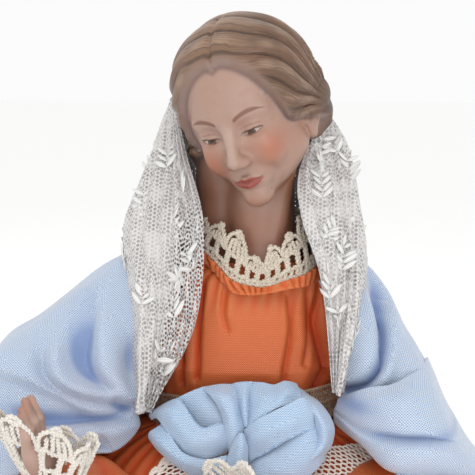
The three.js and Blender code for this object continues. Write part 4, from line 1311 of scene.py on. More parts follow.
def make_bodice(cloth):
    """The bodice, gathered at the neckline, pleated in front and pouched over the belt."""
    z = np.linspace(90.9, 133.9, 124)
    sections = np.array(BODICE_SECTIONS, float)
    half_x, half_y, forward = (np.interp(z, sections[:, 0], each)[:, None] for each in sections[:, 1:].T)
    z = z[:, None]
    angle = np.linspace(0, 2 * math.pi, 321)[None, :-1]
    pouch = 0.9 * spot(z, 105, 4.5) * (0.6 + 0.4 * np.sin(3 * angle + 1))
    gathers = 0.34 * np.sin(angle * 46 + 1.3 * np.sin(5 * angle)) * ramp(119, 129, z) * ramp(134, 130.5, z)
    gathers = gathers + 0.3 * np.sin(angle * 33 + 2 * np.sin(3 * angle)) * ramp(103, 95, z)
    out = pouch + gathers
    across = np.sign(np.sin(angle)) * np.abs(np.sin(angle)) ** 0.9
    ahead = np.sign(np.cos(angle)) * np.abs(np.cos(angle)) ** 0.9
    grid = np.stack([0.8 * forward + (half_x + out) * across, -0.3 * forward - (half_y + out) * ahead,
                     z + 0 * angle], axis=2)
    grid, hollow = press_folds(grid, BODICE_FOLDS)
    grid = crumpled(grid, 6.0, 31, 0.3, True)
    # Painted shade in the pleats' hollows and between the gathers
    hollow = np.maximum(hollow, ramp(0.1, -0.25, gathers) * 0.6)
    around = np.linspace(0, 1, 420, endpoint=False)[None, :]
    up = np.linspace(-0.1, 0.13, 12)[:, None]
    heading = collar_surface(around + 0 * up, up + 0 * around)
    gathered = np.sin(2 * math.pi * (36 * around + 1.6 * noise(heading, 7.0, 33)))
    frill = 0.9 + 0.5 * gathered * ramp(-0.16, 0.05, up)
    heading = heading + frill[..., None] * unit((heading - NECK_FOOT) * [1, 1, 0])
    # Painted shade in the inner gathers of the neck's frill
    return cloth_object("bodice_taffeta", [grid, heading], CLOTH_THICK, cloth, True,
                        [hollow, 0.35 * (frill < 0.8)])


def make_skirt(cloth):
    """The spread skirt: broad folds, finer ones between them, gathers under the belt and a turned hem."""
    height = np.concatenate([np.linspace(12.5, 15.5, 7), np.linspace(16, 90.4, 93)])[:, None]
    angle = np.linspace(0, 2 * math.pi, 461)[None, :-1]
    share = (height - SKIRT_HEM) / SKIRT_TALL
    wander = 0.5 * np.sin(3 * angle + 1.0) + 0.3 * np.sin(5 * angle)
    fine = 0.8 * np.sin(23 * angle + wander + 1.5 * share) + 0.4 * np.sin(41 * angle - 2 * wander)
    fine = (1 - share) * fine
    waist = 0.55 * np.sin(64 * angle + 3 * wander) * ramp(0.72, 0.97, share)
    hem = 0.45 * ramp(15.8, 15.2, height)
    grid = skirt_point(angle + 0 * height, height + 0 * angle, fine + waist + hem)
    grid = crumpled(grid, 9.0, 33, 0.35, True)
    # Painted shade between the folds and the gathers, and under the belt at the top
    hollow = ramp(0.3, -0.5, fine + waist) * 0.8 + 0.4 * ramp(0.75, 0.98, share)
    return cloth_object("skirt_taffeta", [grid], CLOTH_THICK, cloth, True, [np.clip(hollow, 0, 1)])


def tube_grid(path, radii, rows, columns):
    """A grid round a path of points; radii are the half width and half height at each of them."""
    shares = np.linspace(0, 1, rows)
    middle = along_points(path, shares)
    halves = along_points(radii, shares)
    forward = unit(np.gradient(middle, axis=0))
    side = unit(np.cross(forward, [0, 0, 1.0]))
    over = np.cross(side, forward)
    angle = np.linspace(0, 2 * math.pi, columns + 1)[None, :-1, None]
    return (middle[:, None] + np.cos(angle) * side[:, None] * halves[:, None, :1]
            + np.sin(angle) * over[:, None] * halves[:, None, 1:])


# The sleeves: the path of the middle, half width and half height along it, and how far the mouth droops
SLEEVES = {
    "right": (((-22, 1, 124), (-38, -3, 112), (-49, -11, 96), (-49, -26, 84), (-41, -38, 78.5),
               (-35, -46, 76)),
              ((8.5, 9), (9.5, 10), (10.5, 10.5), (10.5, 9.5), (15, 9.5), (20.5, 9.5)), 0.3),
    "left": (((22, 1, 121), (34, -5, 104), (43, -14, 82), (32, -29, 73.5), (17, -42, 73), (8, -49, 74)),
             ((8.5, 9), (9.5, 10), (10, 10), (9, 9), (9, 9), (10, 9.5)), 0.0),
}


def make_sleeve(side, cloth):
    """A wide sleeve from the shoulder over the elbow to its flared mouth, creased across the elbow."""
    path, radii, droop = SLEEVES[side]
    grid = tube_grid(path, radii, 120, 96)
    share = np.linspace(0, 1, 120)[:, None]
    angle = np.linspace(0, 2 * math.pi, 97)[None, :-1]
    grid[..., 2] -= droop * ramp(0.7, 1, share) * (grid[..., 0] - path[-1][0])
    folds = 0.7 * np.sin(7 * angle + 4 * share) * ramp(0.55, 1, share)
    elbow = 0.8 * np.sin(34 * share + 1.2 * np.sin(2 * angle)) * spot(share, 0.42, 0.14)
    out = folds + elbow + 0.5 * noise(grid, 6.0, 61)
    normals = grid_normals(grid, True)
    middle = along_points(path, share[:, 0])
    facing = np.sign(np.sum(normals * (grid - middle[:, None]), axis=2, keepdims=True))
    grid = grid + out[..., None] * normals * facing
    # Painted shade in the hollows of the folds and the elbow's creases
    hollow = ramp(0.1, -0.6, folds + elbow) * 0.7
    return cloth_object(f"sleeve_{side}_taffeta", [grid], CLOTH_THICK, cloth, True, [hollow])


# The collar's foot and top, going round the neck from the right side over the front
COLLAR_FOOT = ((-12.3, -4, 137.1), (-10.4, -9, 136), (-5.9, -14, 132.8), (-1.6, -17.5, 128.7),
               (2.9, -19, 127.8), (7.4, -19.5, 128.1), (12, -19, 129.4), (16.3, -16.5, 130.1),
               (19.2, -12, 131.3), (21.3, -6, 133.6), (20.5, 2, 136), (14, 9, 138), (4, 11, 139),
               (-6, 8.5, 138.5), (-11.5, 2.5, 137.8))
COLLAR_TOP = ((-9.5, -3, 145.2), (-8.2, -7.5, 145.6), (-4.6, -11.6, 145), (-0.6, -14, 142.2),
              (2.9, -15.8, 138), (6.4, -16.5, 136.2), (9, -15.8, 139.5), (12, -13.8, 143.2),
              (15.2, -9.5, 146), (17.4, -3, 145), (16.8, 3, 145), (11.5, 8, 147), (4, 9.5, 148),
              (-4, 7.5, 147.5), (-8.5, 2.5, 146.5))


def collar_surface(u, v):
    """The collar's standing frill, low in front and high at the sides and the back."""
    u = np.asarray(u) % 1
    low = along_points(COLLAR_FOOT, u.ravel(), True).reshape(u.shape + (3,))
    high = along_points(COLLAR_TOP, u.ravel(), True).reshape(u.shape + (3,))
    v = np.asarray(v)[..., None]
    out = unit((low - NECK_FOOT) * [1, 1, 0])
    ripple = 0.7 * np.sin(2 * math.pi * u * 7)[..., None] * v + 1.2 * np.sin(math.pi * np.clip(v, 0, 1))
    return low + (high - low) * v + ripple * out


# The cuffs: middle of the foot and of the rim, the way that the rim faces, the foot's radius, and the rim's
# half width and depth
CUFFS = {
    "right": ((-44, -49.5, 84), (-46, -54, 101), (0.3, 0.12, 0.92), 6.8, 15, 6.5),
    "left": ((5.7, -49.3, 74.7), (-1, -56, 78), (-0.67, -0.67, 0.31), 6.5, 14.5, 14.5),
}


def cuff_surface(side):
    """The frill at a wrist, opening towards the hand."""
    foot, rim, facing, foot_radius, rim_wide, rim_deep = CUFFS[side]
    foot, rim, facing = np.array(foot, float), np.array(rim, float), unit(np.array(facing, float))
    first = unit(np.array([1.0, 0, 0]) - facing[0] * facing)
    second = np.cross(facing, first)

    def surface(u, v):
        angle = np.asarray(u)[..., None] * 2 * math.pi
        v = np.asarray(v)[..., None]
        grow = 1 + 0.07 * v * np.sin(angle * 8)
        wide = (foot_radius + (rim_wide - foot_radius) * v) * grow
        deep = (foot_radius + (rim_deep - foot_radius) * v) * grow
        return foot + (rim - foot) * v + wide * np.cos(angle) * first + deep * np.sin(angle) * second

    return surface


def apron_paths():
    """Paths of the apron's lace: a net of uneven meshes, thicker spots and a scalloped border."""
    rows, columns, covered = 56, 96, 0.97
    heights = np.linspace(87.5, 22, 200)
    fall = np.linalg.norm(np.diff(skirt_point(0.4 + 0 * heights, heights, 2.9), axis=0), axis=1)
    run = np.concatenate([[0], np.cumsum(fall)])

    def surface(across, down):
        height = np.interp(down * run[-1], run, heights)
        half = np.radians(50 + 12 * down)
        angle = half * (2 * across - 1) + np.radians(27 - 11 * down)
        return skirt_point(angle, height, 2.9)

    column, row = np.meshgrid(np.arange(columns + 1), np.arange(rows + 1))
    across = column / columns * covered + (1 - covered) / 2
    lift = np.where((column + row) % 2 == 0, 0.17, -0.17)
    down = (row + lift) / rows * covered + 0.005
    place = np.stack([column, row, 0 * column], axis=2)
    across = across + 0.3 / columns * noise(place, 1.7, 71)
    down = down + 0.24 / rows * noise(place, 1.7, 72)
    net = surface(across, down)
    paths = list(net)
    for step in range(rows):
        paths += [net[step:step + 2, number] for number in np.flatnonzero(lift[step] > 0)]
    near, far = 0.015, 0.985
    corners = np.array([(near, 0.0), (near, far), (far, far), (far, 0.0)])
    sides = [np.linspace(start, end, steps) for start, end, steps in zip(corners, corners[1:], (60, 120, 60))]
    edge = np.concatenate(sides)
    inner = (edge - 0.5) * [0.965, 0.955] + 0.5
    thick = [surface(edge[:, 0], edge[:, 1]), surface(inner[:, 0], np.maximum(inner[:, 1], 0))]
    scallops = 88
    rim = np.linspace(0, 1, scallops * 8 + 1)
    steps = np.arange(len(edge))
    at = np.stack([np.interp(rim * steps[-1], steps, edge[:, axis]) for axis in range(2)], axis=1)
    out = np.abs(np.sin(math.pi * rim * scallops)) * 0.022
    outward = unit(at - [0.5, 0.42])
    thick.append(surface(at[:, 0] + out * outward[:, 0] * 0.6, at[:, 1] + out * outward[:, 1]))
    return paths, thick


def make_apron(cord):
    """The lace apron: a fine net with a border of thicker cord."""
    paths, thick = apron_paths()
    net = cord_object("apron_net", paths, 0.36, 4, cord)
    strands = [strand for path in thick for strand in twisted(path, 0.26, 2.2)]
    return net, cord_object("apron_border", strands, 0.3, 5, cord)


def make_belt(cord):
    """The openwork ribbon at the waist: crossed threads between edges of heavier cord."""
    def surface(u, v):
        angle = np.asarray(u) * 2 * math.pi
        v = np.asarray(v)
        x = (27 - 0.5 * v) * np.sin(angle)
        y = -(21 - 0.5 * v) * np.cos(angle)
        return np.stack([x, y, 91.25 + 8.5 * v + 1.6 * np.sin(angle)], axis=-1)

    count = 84
    u = np.linspace(0, 1, count * 6 + 1)
    paths = []
    for lane in range(5):
        for phase in (0, 0.5):
            paths.append(surface(u, (lane + 0.5 + 0.55 * np.sin(2 * math.pi * (u * count + phase))) / 5))
    heavy = []
    for height in (0.02, 0.5, 0.98):
        heavy += twisted(surface(u, height + 0 * u), 0.28, 1.8)
    return cord_object("belt_threads", paths, 0.2, 4, cord), cord_object("belt_edges", heavy, 0.3, 5, cord)


def hand_parts(side):
    """Rods of a hand in the figure's frame: wrist, palm, thumb and fingers, with their radii."""
    wrist, palm = np.array(ARMS[side], float)
    along = unit(palm - wrist)
    up = unit(np.array([0, 0, 1.0]) - along[2] * along)
    inward = np.cross(along, up) * (-1 if side == "left" else 1)
    lift = {"right": 2.0, "left": 3.0}[side]

    def place(forward, high, inner):
        return palm + forward * along + high * up + inner * inward

    fingers = []
    for number, high in enumerate((3.4, 1.2, -1.0, -3.0)):
        reach = 12 - abs(number - 1) * 1.2
        root, tip = place(2, high, 0.2), place(2 + reach * 0.85, high * 0.9 + 2.2 + lift, 2.2)
        bend = place(2 + reach * 0.5, high * 0.98 + 1.0 + lift * 0.35, -0.2)
        fingers.append((root, bend, tip))
    thumb = (place(-3, 3.0, 1.2), place(1.5, 6.2, 3.2), place(5.5, 8.0, 3.6))
    return wrist - 6 * along, place(-3, 0, 0), palm, np.stack([along, up, inward]), fingers, thumb


def make_hand(side, colours):
    """A terracotta hand with slim bent fingers, held together, and the thumb above."""
    wrist, heel, palm, frame_rows, fingers, thumb = hand_parts(side)

    def shape(p):
        hand = rod(p, wrist, heel, 3.7, 3.4)
        hand = merge(hand, egg((p - palm) @ frame_rows.T, (0, 0, 0), (6.4, 4.9, 2.7)), 2.0)
        for root, bend, tip in fingers:
            finger = merge(rod(p, root, bend, 1.5, 1.35), rod(p, bend, tip, 1.35, 1.05), 0.4)
            hand = merge(hand, finger, 0.2)
        flesh = merge(rod(p, thumb[0], thumb[1], 1.9, 1.55), rod(p, thumb[1], thumb[2], 1.55, 1.15), 0.5)
        return merge(hand, flesh, 1.2)

    blobs = [rod_blob(wrist, heel, 3.7, 3.6), blob(palm, (6.6, 5.1, 2.9), frame_rows.T)]
    for root, bend, tip in fingers + [thumb]:
        blobs.append(rod_blob(root, bend, 1.7, 1.5, 10))
        blobs.append(rod_blob(bend, tip, 1.5, 1.1, 10))
    points, faces = sculpt(shape, blobs, HAND_VOXEL)
    layers = [("#8C7164", 0.75 + 0.3 * noise(points, 3.0, 81))]
    for _, _, tip in fingers + [thumb]:
        layers.append(("#BC8068", 0.35 * spot(np.linalg.norm(points - tip, axis=1), 0, 2.0)))
    paint = mix_paint(np.tile(np.array(colours["skin"][:3]), (len(points), 1)), layers)
    return clay_object(f"hand_{side}_painted", points, faces, points[:, :2], paint, np.zeros(len(points)))


# The base's edge: inset and height, from the middle of the underside to that of the top
BASE_PROFILE = (
    (20, 0.0), (2.4, 0.0), (0.8, 0.5), (0.1, 1.6), (0.0, 2.6), (0.6, 3.6), (2.2, 4.1), (2.6, 4.6), (2.5, 5.6),
    (1.9, 6.8), (1.0, 7.7), (1.0, 8.2), (1.6, 8.5), (1.2, 9.2), (1.3, 10.2), (1.9, 11.1), (2.9, 11.8),
    (4.4, 12.0), (20, 12.0),
)


def make_base(wood):
    """The oval base, with a bead, a hollow and a foot round its edge."""
    profile = np.array(BASE_PROFILE)
    angle = np.linspace(0, 2 * math.pi, 241)[None, :-1]
    inset, height = profile[:, :1], profile[:, 1:]
    ring = np.stack([(92 - inset) * np.sin(angle), -(80 - inset) * np.cos(angle), height + 0 * angle], axis=2)
    columns = ring.shape[1]
    faces = grid_quads(len(profile), columns, True)[:, ::-1].tolist()
    faces.append(list(range(columns)))
    faces.append(list(range((len(profile) - 1) * columns, len(profile) * columns))[::-1])
    return new_object("base_waxed_walnut", ring.reshape(-1, 3), [face[::-1] for face in faces], wood)


def make_veil(net):
    """The veil: one piece of net from the back of the head over the shoulders to the waist."""
    columns = uneven_shares((0.28, 120), (0.72, 60), (1.0, 110))
    grid = fine_grid(np.transpose(VEIL_LINES, (1, 0, 2)), np.linspace(0, 1, 126), columns)
    u = columns[None, :]
    v = np.linspace(0, 1, len(grid))[:, None]
    sides = 1 - ramp(0.25, 0.4, u) * ramp(0.75, 0.6, u)
    pleats = np.sin(2 * math.pi * (u * 23 + 0.5 * v + 0.4 * np.sin(9 * u)))
    depth = 0.55 * ramp(0.0, 0.25, v) + 0.5 * ramp(0.6, 1.0, v) * (1 - sides)
    grid = grid + ((depth * pleats) + 0.5 * noise(grid, 8.0, 91))[..., None] * grid_normals(grid)
    inner = np.minimum(u, 1 - u)
    clear = ramp(0.36, 0.6, v) * ramp(0.05 + 0.13 * v, 0.03 + 0.09 * v, inner)
    clear = clear * ramp(0.9, 0.4, u)
    patchy = noise(grid, 5.0, 93) + 0.7 * noise(grid, 1.6, 94)
    closed = np.clip(0.86 + 0.12 * patchy - (0.66 + 0.1 * patchy) * clear, 0, 1)
    points, faces = thin_sheet(grid, NET_THICK)
    made = new_object("veil_tulle", points, faces, net, laid_uv(points, faces),
                      closed=np.tile(closed.ravel(), 2))
    return made, grid


def grid_lengths(grid):
    """Distance in mm of every grid point from the first row and column, as a (rows, columns, 2) uv array."""
    across = np.linalg.norm(np.diff(grid, axis=1), axis=2)
    down = np.linalg.norm(np.diff(grid, axis=0), axis=2)
    u = np.concatenate([[0], np.cumsum(across.mean(axis=0))])
    v = np.concatenate([[0], np.cumsum(down.mean(axis=1))])
    return np.stack(np.meshgrid(u, v), axis=2)


def leaf_object(length, width):
    """A padded satin-stitch leaf, pointed at both ends and ridged along its middle."""
    along = np.linspace(0, 1, 7)[:, None]
    across = np.linspace(-1, 1, 5)[None, :]
    half = width / 2 * np.sin(math.pi * along) ** 0.8 + 0.05
    height = 0.2 * (1 - across ** 2) * np.sin(math.pi * along) ** 0.5
    grid = np.stack([length * along + 0 * across, half * across, height - 0.05], axis=2)
    points, faces = thin_sheet(grid, 0.1)
    uvs = np.tile(grid_lengths(grid).reshape(-1, 2), (2, 1))
    return new_object("leaf", points, faces, None, uvs[faces.ravel()])


def scatter_tree():
    """Geometry nodes that set a leaf on every point, turned and sized by the points' own attributes."""
    tree, given = new_tree("leaves on points", ("Leaf", "Object"), ("Material", "Material"))
    leaf = add(tree, "ObjectInfo", {"Object": given["Leaf"]}).node.outputs["Geometry"]
    turn = add(tree, "InputNamedAttribute", {"Name": "turn"}, data_type="FLOAT_VECTOR")
    size = add(tree, "InputNamedAttribute", {"Name": "size"}, data_type="FLOAT")
    spots = add(tree, "MeshToPoints", {"Mesh": given["Geometry"]})
    leaves = add(tree, "InstanceOnPoints",
                 {"Points": spots, "Instance": leaf, "Rotation": turn, "Scale": size})
    real = add(tree, "RealizeInstances", [leaves])
    painted = add(tree, "SetMaterial", {"Geometry": real, "Material": given["Material"]})
    add(tree, "NodeGroupOutput", {"Geometry": painted})
    return tree


# Sprays on the veil: the lowest leaf's place across and down the net, the way up in degrees, and the leaves
VEIL_SPRAYS = (
    (0.10, 0.40, 80, 9), (0.17, 0.52, 100, 9), (0.06, 0.62, 55, 8), (0.14, 0.74, 75, 8), (0.21, 0.86, 110, 8),
    (0.08, 0.90, 70, 7), (0.21, 0.30, 95, 8), (0.30, 0.46, 80, 9), (0.32, 0.72, 100, 9), (0.40, 0.30, 85, 9),
    (0.44, 0.56, 95, 9), (0.42, 0.85, 80, 9), (0.52, 0.40, 90, 9), (0.55, 0.72, 100, 9), (0.60, 0.28, 80, 9),
    (0.64, 0.55, 95, 9), (0.66, 0.86, 85, 9), (0.74, 0.34, 100, 9), (0.78, 0.22, 75, 7), (0.80, 0.48, 85, 9),
    (0.84, 0.66, 100, 8), (0.90, 0.40, 95, 9), (0.92, 0.58, 120, 8), (0.86, 0.84, 70, 8),
    (0.95, 0.78, 100, 7), (0.91, 0.20, 100, 7),
)


# Daisies: the middle's place across and down the net, no direction, and the count of petals
VEIL_DAISIES = (
    (0.08, 0.40, None, 11), (0.88, 0.24, None, 11), (0.86, 0.53, None, 10), (0.13, 0.64, None, 10),
    (0.40, 0.60, None, 11), (0.50, 0.50, None, 11), (0.60, 0.62, None, 11),
)


def spray_leaves(grid):
    """Places, turns and sizes of the embroidered leaves over a grid of points."""
    rows, columns = grid.shape[:2]
    normals = grid_normals(grid)
    inward = (normals[..., :2] * grid[..., :2]).sum(axis=2, keepdims=True) < 0
    normals = (normals * np.where(inward, -1, 1)).reshape(-1, 3)
    flat = grid.reshape(-1, 3)
    chance = np.random.default_rng(7)
    places, turns, sizes = [], [], []
    for across, down, heading, leaves in VEIL_SPRAYS + VEIL_DAISIES:
        row, column = int(down * (rows - 1)), int(across * (columns - 1))
        here = grid[row, column]
        right = unit(grid[row, min(column + 2, columns - 1)] - grid[row, column - 2])
        up = unit(grid[max(row - 2, 0), column] - grid[min(row + 2, rows - 1), column])
        angle = math.radians(heading or 90)
        stem = math.cos(angle) * right + math.sin(angle) * up
        for number in range(leaves):
            last = number == leaves - 1
            side = 0 if last else (1 if number % 2 else -1)
            reach = 2.0 * (number // 2 + (0.5 if last else 0)) + chance.uniform(-0.3, 0.3)
            if heading is None:
                side, reach = number * 360 / leaves / 48, 0
            distance = np.linalg.norm(flat - (here + stem * reach), axis=1)
            nearest = np.argmin(distance)
            if distance[nearest] > 0.9:
                continue
            normal = normals[nearest]
            along = unit(stem - (stem @ normal) * normal)
            lean = math.radians(48 * side + chance.uniform(-12, 12))
            first = math.cos(lean) * along + math.sin(lean) * np.cross(normal, along)
            turn = np.stack([first, np.cross(normal, first), normal], axis=1)
            places.append(flat[nearest] + 0.2 * normal)
            turns.append(Matrix(turn.tolist()).to_euler())
            sizes.append(1.1 - 0.05 * number + chance.uniform(-0.18, 0.18))
    return places, turns, sizes


def make_embroidery(grid, floss):
    """The leaves and flowers sewn on the veil."""
    places, turns, sizes = spray_leaves(grid)
    made = new_object("veil_embroidery", places, [], turn=[tuple(turn) for turn in turns], size=sizes)
    leaf = leaf_object(4.4, 1.15)
    nodes = made.modifiers.new("leaves", "NODES")
    nodes.node_group = scatter_tree()
    set_inputs(nodes, Leaf=leaf, Material=floss)
    plain_copy(made)
    bpy.data.objects.remove(leaf)
    return made


# Studio lights: place in metres, share of the key light's power, and width in metres
LIGHTS = {
    "key": ((0.02, -0.7, 0.78), 1.0, 0.45),
    "front": ((0.25, -1.0, 0.14), 2.7, 0.7),
    "fill": ((-0.75, -0.55, 0.4), 0.28, 0.8),
    "back": ((-0.2, 0.8, 0.7), 0.35, 0.6),
}
LIGHTS_AIM = Vector((0, 0, 0.13))
# The camera: the point that it looks at, its distance and focal length, and its way round and up in degrees
CAMERA_AIM = Vector((-0.002, 0, 0.139))
CAMERA_AWAY = 0.45
CAMERA_LENS = 126.35
CAMERA_AROUND, CAMERA_UP = 5, 8


def aimed(name, data, place, direction):
    """An object for a lamp or a camera at a place, looking along a direction."""
    made = linked(name, data)
    made.location = place
    made.rotation_euler = direction.to_track_quat("-Z", "Y").to_euler()
    return made


def make_stage(sizes):
    """A pale floor, soft studio lights and the camera at the photograph's angle."""
    half = 3.0 / MM
    corners = [(-half, -half, 0), (half, -half, 0), (half, half, 0), (-half, half, 0)]
    floor = new_object("floor", corners, [(0, 1, 2, 3)], studio_paper())
    scene = bpy.context.scene
    scene.world = bpy.data.worlds.new("studio")
    scene.world.use_nodes = True
    room = scene.world.node_tree.nodes["Background"].inputs
    room["Color"].default_value = (1.0, 1.0, 1.0, 1)
    room["Strength"].default_value = sizes.world_strength
    for name, (place, share, width) in LIGHTS.items():
        lamp = bpy.data.lights.new(name, "AREA")
        lamp.energy = sizes.key_power * share
        lamp.size = width
        aimed(name, lamp, place, LIGHTS_AIM - Vector(place))
    lens = bpy.data.cameras.new("camera")
    lens.lens = CAMERA_LENS
    lens.clip_start = 0.01
    around, up = math.radians(CAMERA_AROUND), math.radians(CAMERA_UP)
    away = Vector((math.sin(around) * math.cos(up), -math.cos(around) * math.cos(up), math.sin(up)))
    scene.camera = aimed("camera", lens, CAMERA_AIM + away * CAMERA_AWAY, -away)
    scene.view_settings.view_transform = "Standard"


def colour_choice(name, description, code):
    """A colour that the user may change; its default is an sRGB hex colour."""
    return bpy.props.FloatVectorProperty(name=name, description=description, default=linear(code), min=0,
                                         max=1, subtype="COLOR", size=4)


class CribFigureColours(bpy.types.PropertyGroup):
    """The figure's colours."""
    skin: colour_choice("Skin", "Pale paint of the face and the hands", "#D7B6A7")
    hair: colour_choice("Hair", "Brown paint of the hair", "#7C5E47")
    mantle: colour_choice("Mantle", "Light of the mantle's blue cloth", "#D5DDE5")
    mantle_shade: colour_choice("Mantle shade", "Hollows of the mantle's weave", "#7E9AC2")
    sash: colour_choice("Sash", "Light of the sash's blue cloth", "#C9D7E5")
    sash_shade: colour_choice("Sash shade", "Hollows of the sash's weave", "#76A0CA")
    dress: colour_choice("Dress", "Light of the orange taffeta", "#DC7E4A")
    dress_shade: colour_choice("Dress shade", "Hollows of the orange taffeta", "#BE4E1E")
    lace: colour_choice("Lace", "Ecru cotton of the collar and cuffs", "#E6DED2")
    apron: colour_choice("Apron", "Ecru cotton of the apron", "#FAF0E6")
    belt: colour_choice("Belt", "Old gold thread of the belt", "#CDB9A2")


def measure(name, description, default, least=0.0, most=1000.0, **settings):
    """A number that the user may change."""
    return bpy.props.FloatProperty(name=name, description=description, default=default, min=least, max=most,
                                   **settings)


class CribFigureSizes(bpy.types.PropertyGroup):
    """The figure's sizes and the light's strength."""
    blue_pitch: measure("Blue weave", "Pitch of the blue cloth's weave, in mm", 0.72, 0.2, 2.0)
    dress_pitch: measure("Dress weave", "Pitch of the taffeta's ribs, in mm", 0.6, 0.2, 2.0)
    net_pitch: measure("Net", "Distance between the veil's holes, in mm", 1.2, 0.6, 4.0)
    lace_cord: measure("Lace cord", "Radius of one strand of the crochet lace", 0.00038, 0.0001, 0.001,
                       unit="LENGTH", precision=5)
    key_power: measure("Key light", "Power of the key light", 1.0, unit="POWER")
    world_strength: measure("Room light", "Brightness of the white room", 0.97)


class OBJECT_OT_crib_base(bpy.types.Operator):
    """Turn and wax the oval wooden base"""
    bl_idname = "object.crib_base"
    bl_label = "Base"
    bl_options = {"REGISTER", "UNDO"}

    def execute(self, context):
        finish_piece(make_base(waxed_walnut()), "base")
        return {"FINISHED"}


class OBJECT_OT_crib_terracotta(bpy.types.Operator):
    """Sculpt and paint the head and the hands"""
    bl_idname = "object.crib_terracotta"
    bl_label = "Head and Hands"
    bl_options = {"REGISTER", "UNDO"}

    def execute(self, context):
        colours = context.scene.crib_colours
        paints = {"skin": colours.skin, "hair": colours.hair}
        finish_piece(make_head(paints), "head_and_neck")
        for side in ("right", "left"):
            finish_piece(make_hand(side, paints), f"hand_{side}")
        return {"FINISHED"}


class OBJECT_OT_crib_dress(bpy.types.Operator):
    """Sew the orange dress: bodice, skirt and sleeves"""
    bl_idname = "object.crib_dress"
    bl_label = "Dress"
    bl_options = {"REGISTER", "UNDO"}

    def execute(self, context):
        colours = context.scene.crib_colours
        sizes = context.scene.crib_sizes
        # The deep colour, #D0420C, is the painted shade of the dress's hollows
        taffeta = woven_cloth("orange ribbed taffeta", colours.dress, colours.dress_shade, linear("#D0743E"),
                              linear("#D0420C"), sizes.dress_pitch, 0.25, 0.38, 0.06)
        bodice = make_bodice(taffeta)
        finish_piece(bodice, "bodice")
        skirt = make_skirt(taffeta)
        finish_piece(skirt, "skirt")
        for side in ("right", "left"):
            sleeve = make_sleeve(side, taffeta)
            finish_piece(sleeve, f"sleeve_{side}")
        return {"FINISHED"}


class OBJECT_OT_crib_mantle(bpy.types.Operator):
    """Drape the light blue mantle round the shoulders and arms"""
    bl_idname = "object.crib_mantle"
    bl_label = "Mantle"
    bl_options = {"REGISTER", "UNDO"}

    def execute(self, context):
        colours = context.scene.crib_colours
        sizes = context.scene.crib_sizes
        # The deep colour, #6C86B8, is the painted shade of the mantle's hollows
        cloth = woven_cloth("light blue woven cloth", colours.mantle, colours.mantle_shade, linear("#BDB6C6"),
                            linear("#6C86B8"), sizes.blue_pitch, 0.15, 0.5, 0.4)
        mantle = make_mantle(cloth)
        finish_piece(mantle, "mantle")
        return {"FINISHED"}


class OBJECT_OT_crib_sash(bpy.types.Operator):
    """Fold and knot the sash in front of the belt"""
    bl_idname = "object.crib_sash"
    bl_label = "Sash"
    bl_options = {"REGISTER", "UNDO"}

    def execute(self, context):
        colours = context.scene.crib_colours
        sizes = context.scene.crib_sizes
        # The deep colour, #7FA3CC, is painted shade for hollows, though the sash marks none
        cloth = woven_cloth("pale blue sash cloth", colours.sash, colours.sash_shade, linear("#CFD0E0"),
                            linear("#7FA3CC"), sizes.blue_pitch * 0.9, 0.3, 0.5, 0.4)
        sash, thread = make_sash(cloth, cotton_cord("pale blue raw thread", colours.sash, colours.sash_shade))
        finish_piece(sash, "sash")
        finish_piece(thread, "sash")
        return {"FINISHED"}


class OBJECT_OT_crib_veil(bpy.types.Operator):
    """Hang the embroidered veil from the back of the head"""
    bl_idname = "object.crib_veil"
    bl_label = "Veil"
    bl_options = {"REGISTER", "UNDO"}

    def execute(self, context):
        sizes = context.scene.crib_sizes
        veil, grid = make_veil(tulle("white cotton tulle", sizes.net_pitch))
        finish_piece(veil, "veil")
        leaves = make_embroidery(grid, embroidery_floss())
        finish_piece(leaves, "veil")
        return {"FINISHED"}


class OBJECT_OT_crib_lace(bpy.types.Operator):
    """Crochet the collar and the cuffs"""
    bl_idname = "object.crib_lace"
    bl_label = "Collar and Cuffs"
    bl_options = {"REGISTER", "UNDO"}

    def execute(self, context):
        colours = context.scene.crib_colours
        sizes = context.scene.crib_sizes
        cotton = cotton_cord("ecru crochet cotton", colours.lace, linear("#B8AA96"))
        white = cotton_cord("white crochet cotton", linear("#F4F1EA"), linear("#D0C8BD"))
        radius = sizes.lace_cord / MM
        finish_piece(crochet_object("collar_crochet", collar_surface, 24, radius, 11, cotton), "collar")
        for number, side in enumerate(("right", "left")):
            cuff = crochet_object(f"cuff_{side}_crochet", cuff_surface(side), 16, radius, 20 + number, white)
            finish_piece(cuff, f"cuff_{side}")
        return {"FINISHED"}


class OBJECT_OT_crib_apron(bpy.types.Operator):
    """Net the lace apron over the skirt"""
    bl_idname = "object.crib_apron"
    bl_label = "Apron"
    bl_options = {"REGISTER", "UNDO"}

    def execute(self, context):
        colours = context.scene.crib_colours
        cotton = cotton_cord("ecru apron cotton", colours.apron, linear("#F0E2D4"))
        for piece in make_apron(cotton):
            finish_piece(piece, "apron")
        return {"FINISHED"}


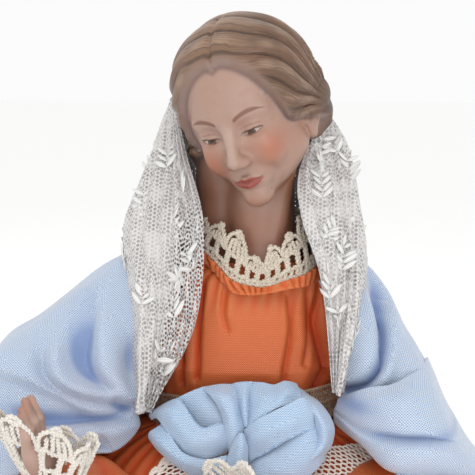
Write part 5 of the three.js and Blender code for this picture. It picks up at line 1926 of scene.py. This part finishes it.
class OBJECT_OT_crib_belt(bpy.types.Operator):
    """Braid the openwork belt"""
    bl_idname = "object.crib_belt"
    bl_label = "Belt"
    bl_options = {"REGISTER", "UNDO"}

    def execute(self, context):
        colours = context.scene.crib_colours
        gold = cotton_cord("old gold metallic thread", colours.belt, linear("#9A7B62"))
        for piece in make_belt(gold):
            finish_piece(piece, "belt")
        return {"FINISHED"}


class OBJECT_OT_crib_stage(bpy.types.Operator):
    """Set up the floor, the lights and the camera"""
    bl_idname = "object.crib_stage"
    bl_label = "Stage"
    bl_options = {"REGISTER", "UNDO"}

    def execute(self, context):
        sizes = context.scene.crib_sizes
        make_stage(sizes)
        return {"FINISHED"}


OPERATORS = (
    OBJECT_OT_crib_base,
    OBJECT_OT_crib_terracotta,
    OBJECT_OT_crib_dress,
    OBJECT_OT_crib_belt,
    OBJECT_OT_crib_sash,
    OBJECT_OT_crib_lace,
    OBJECT_OT_crib_apron,
    OBJECT_OT_crib_mantle,
    OBJECT_OT_crib_veil,
    OBJECT_OT_crib_stage,
)


class VIEW3D_PT_crib_figure(bpy.types.Panel):
    """The figure's pieces, colours and sizes in the 3D view's sidebar."""
    bl_label = "Crib Figure"
    bl_idname = "VIEW3D_PT_crib_figure"
    bl_space_type = "VIEW_3D"
    bl_region_type = "UI"
    bl_category = "Crib Figure"

    def draw(self, context):
        column = self.layout.column(align=True)
        for operator in OPERATORS:
            column.operator(operator.bl_idname)
        for group in (context.scene.crib_colours, context.scene.crib_sizes):
            column = self.layout.column()
            for name in group.__annotations__:
                column.prop(group, name)


CLASSES = (CribFigureColours, CribFigureSizes) + OPERATORS + (VIEW3D_PT_crib_figure,)


def register():
    for made in CLASSES:
        bpy.utils.register_class(made)
    bpy.types.Scene.crib_colours = bpy.props.PointerProperty(type=CribFigureColours)
    bpy.types.Scene.crib_sizes = bpy.props.PointerProperty(type=CribFigureSizes)


def unregister():
    del bpy.types.Scene.crib_sizes
    del bpy.types.Scene.crib_colours
    for made in reversed(CLASSES):
        bpy.utils.unregister_class(made)


def main():
    register()
    for operator in OPERATORS:
        group, name = operator.bl_idname.split(".")
        getattr(getattr(bpy.ops, group), name)()


if __name__ == "__main__":
    main()
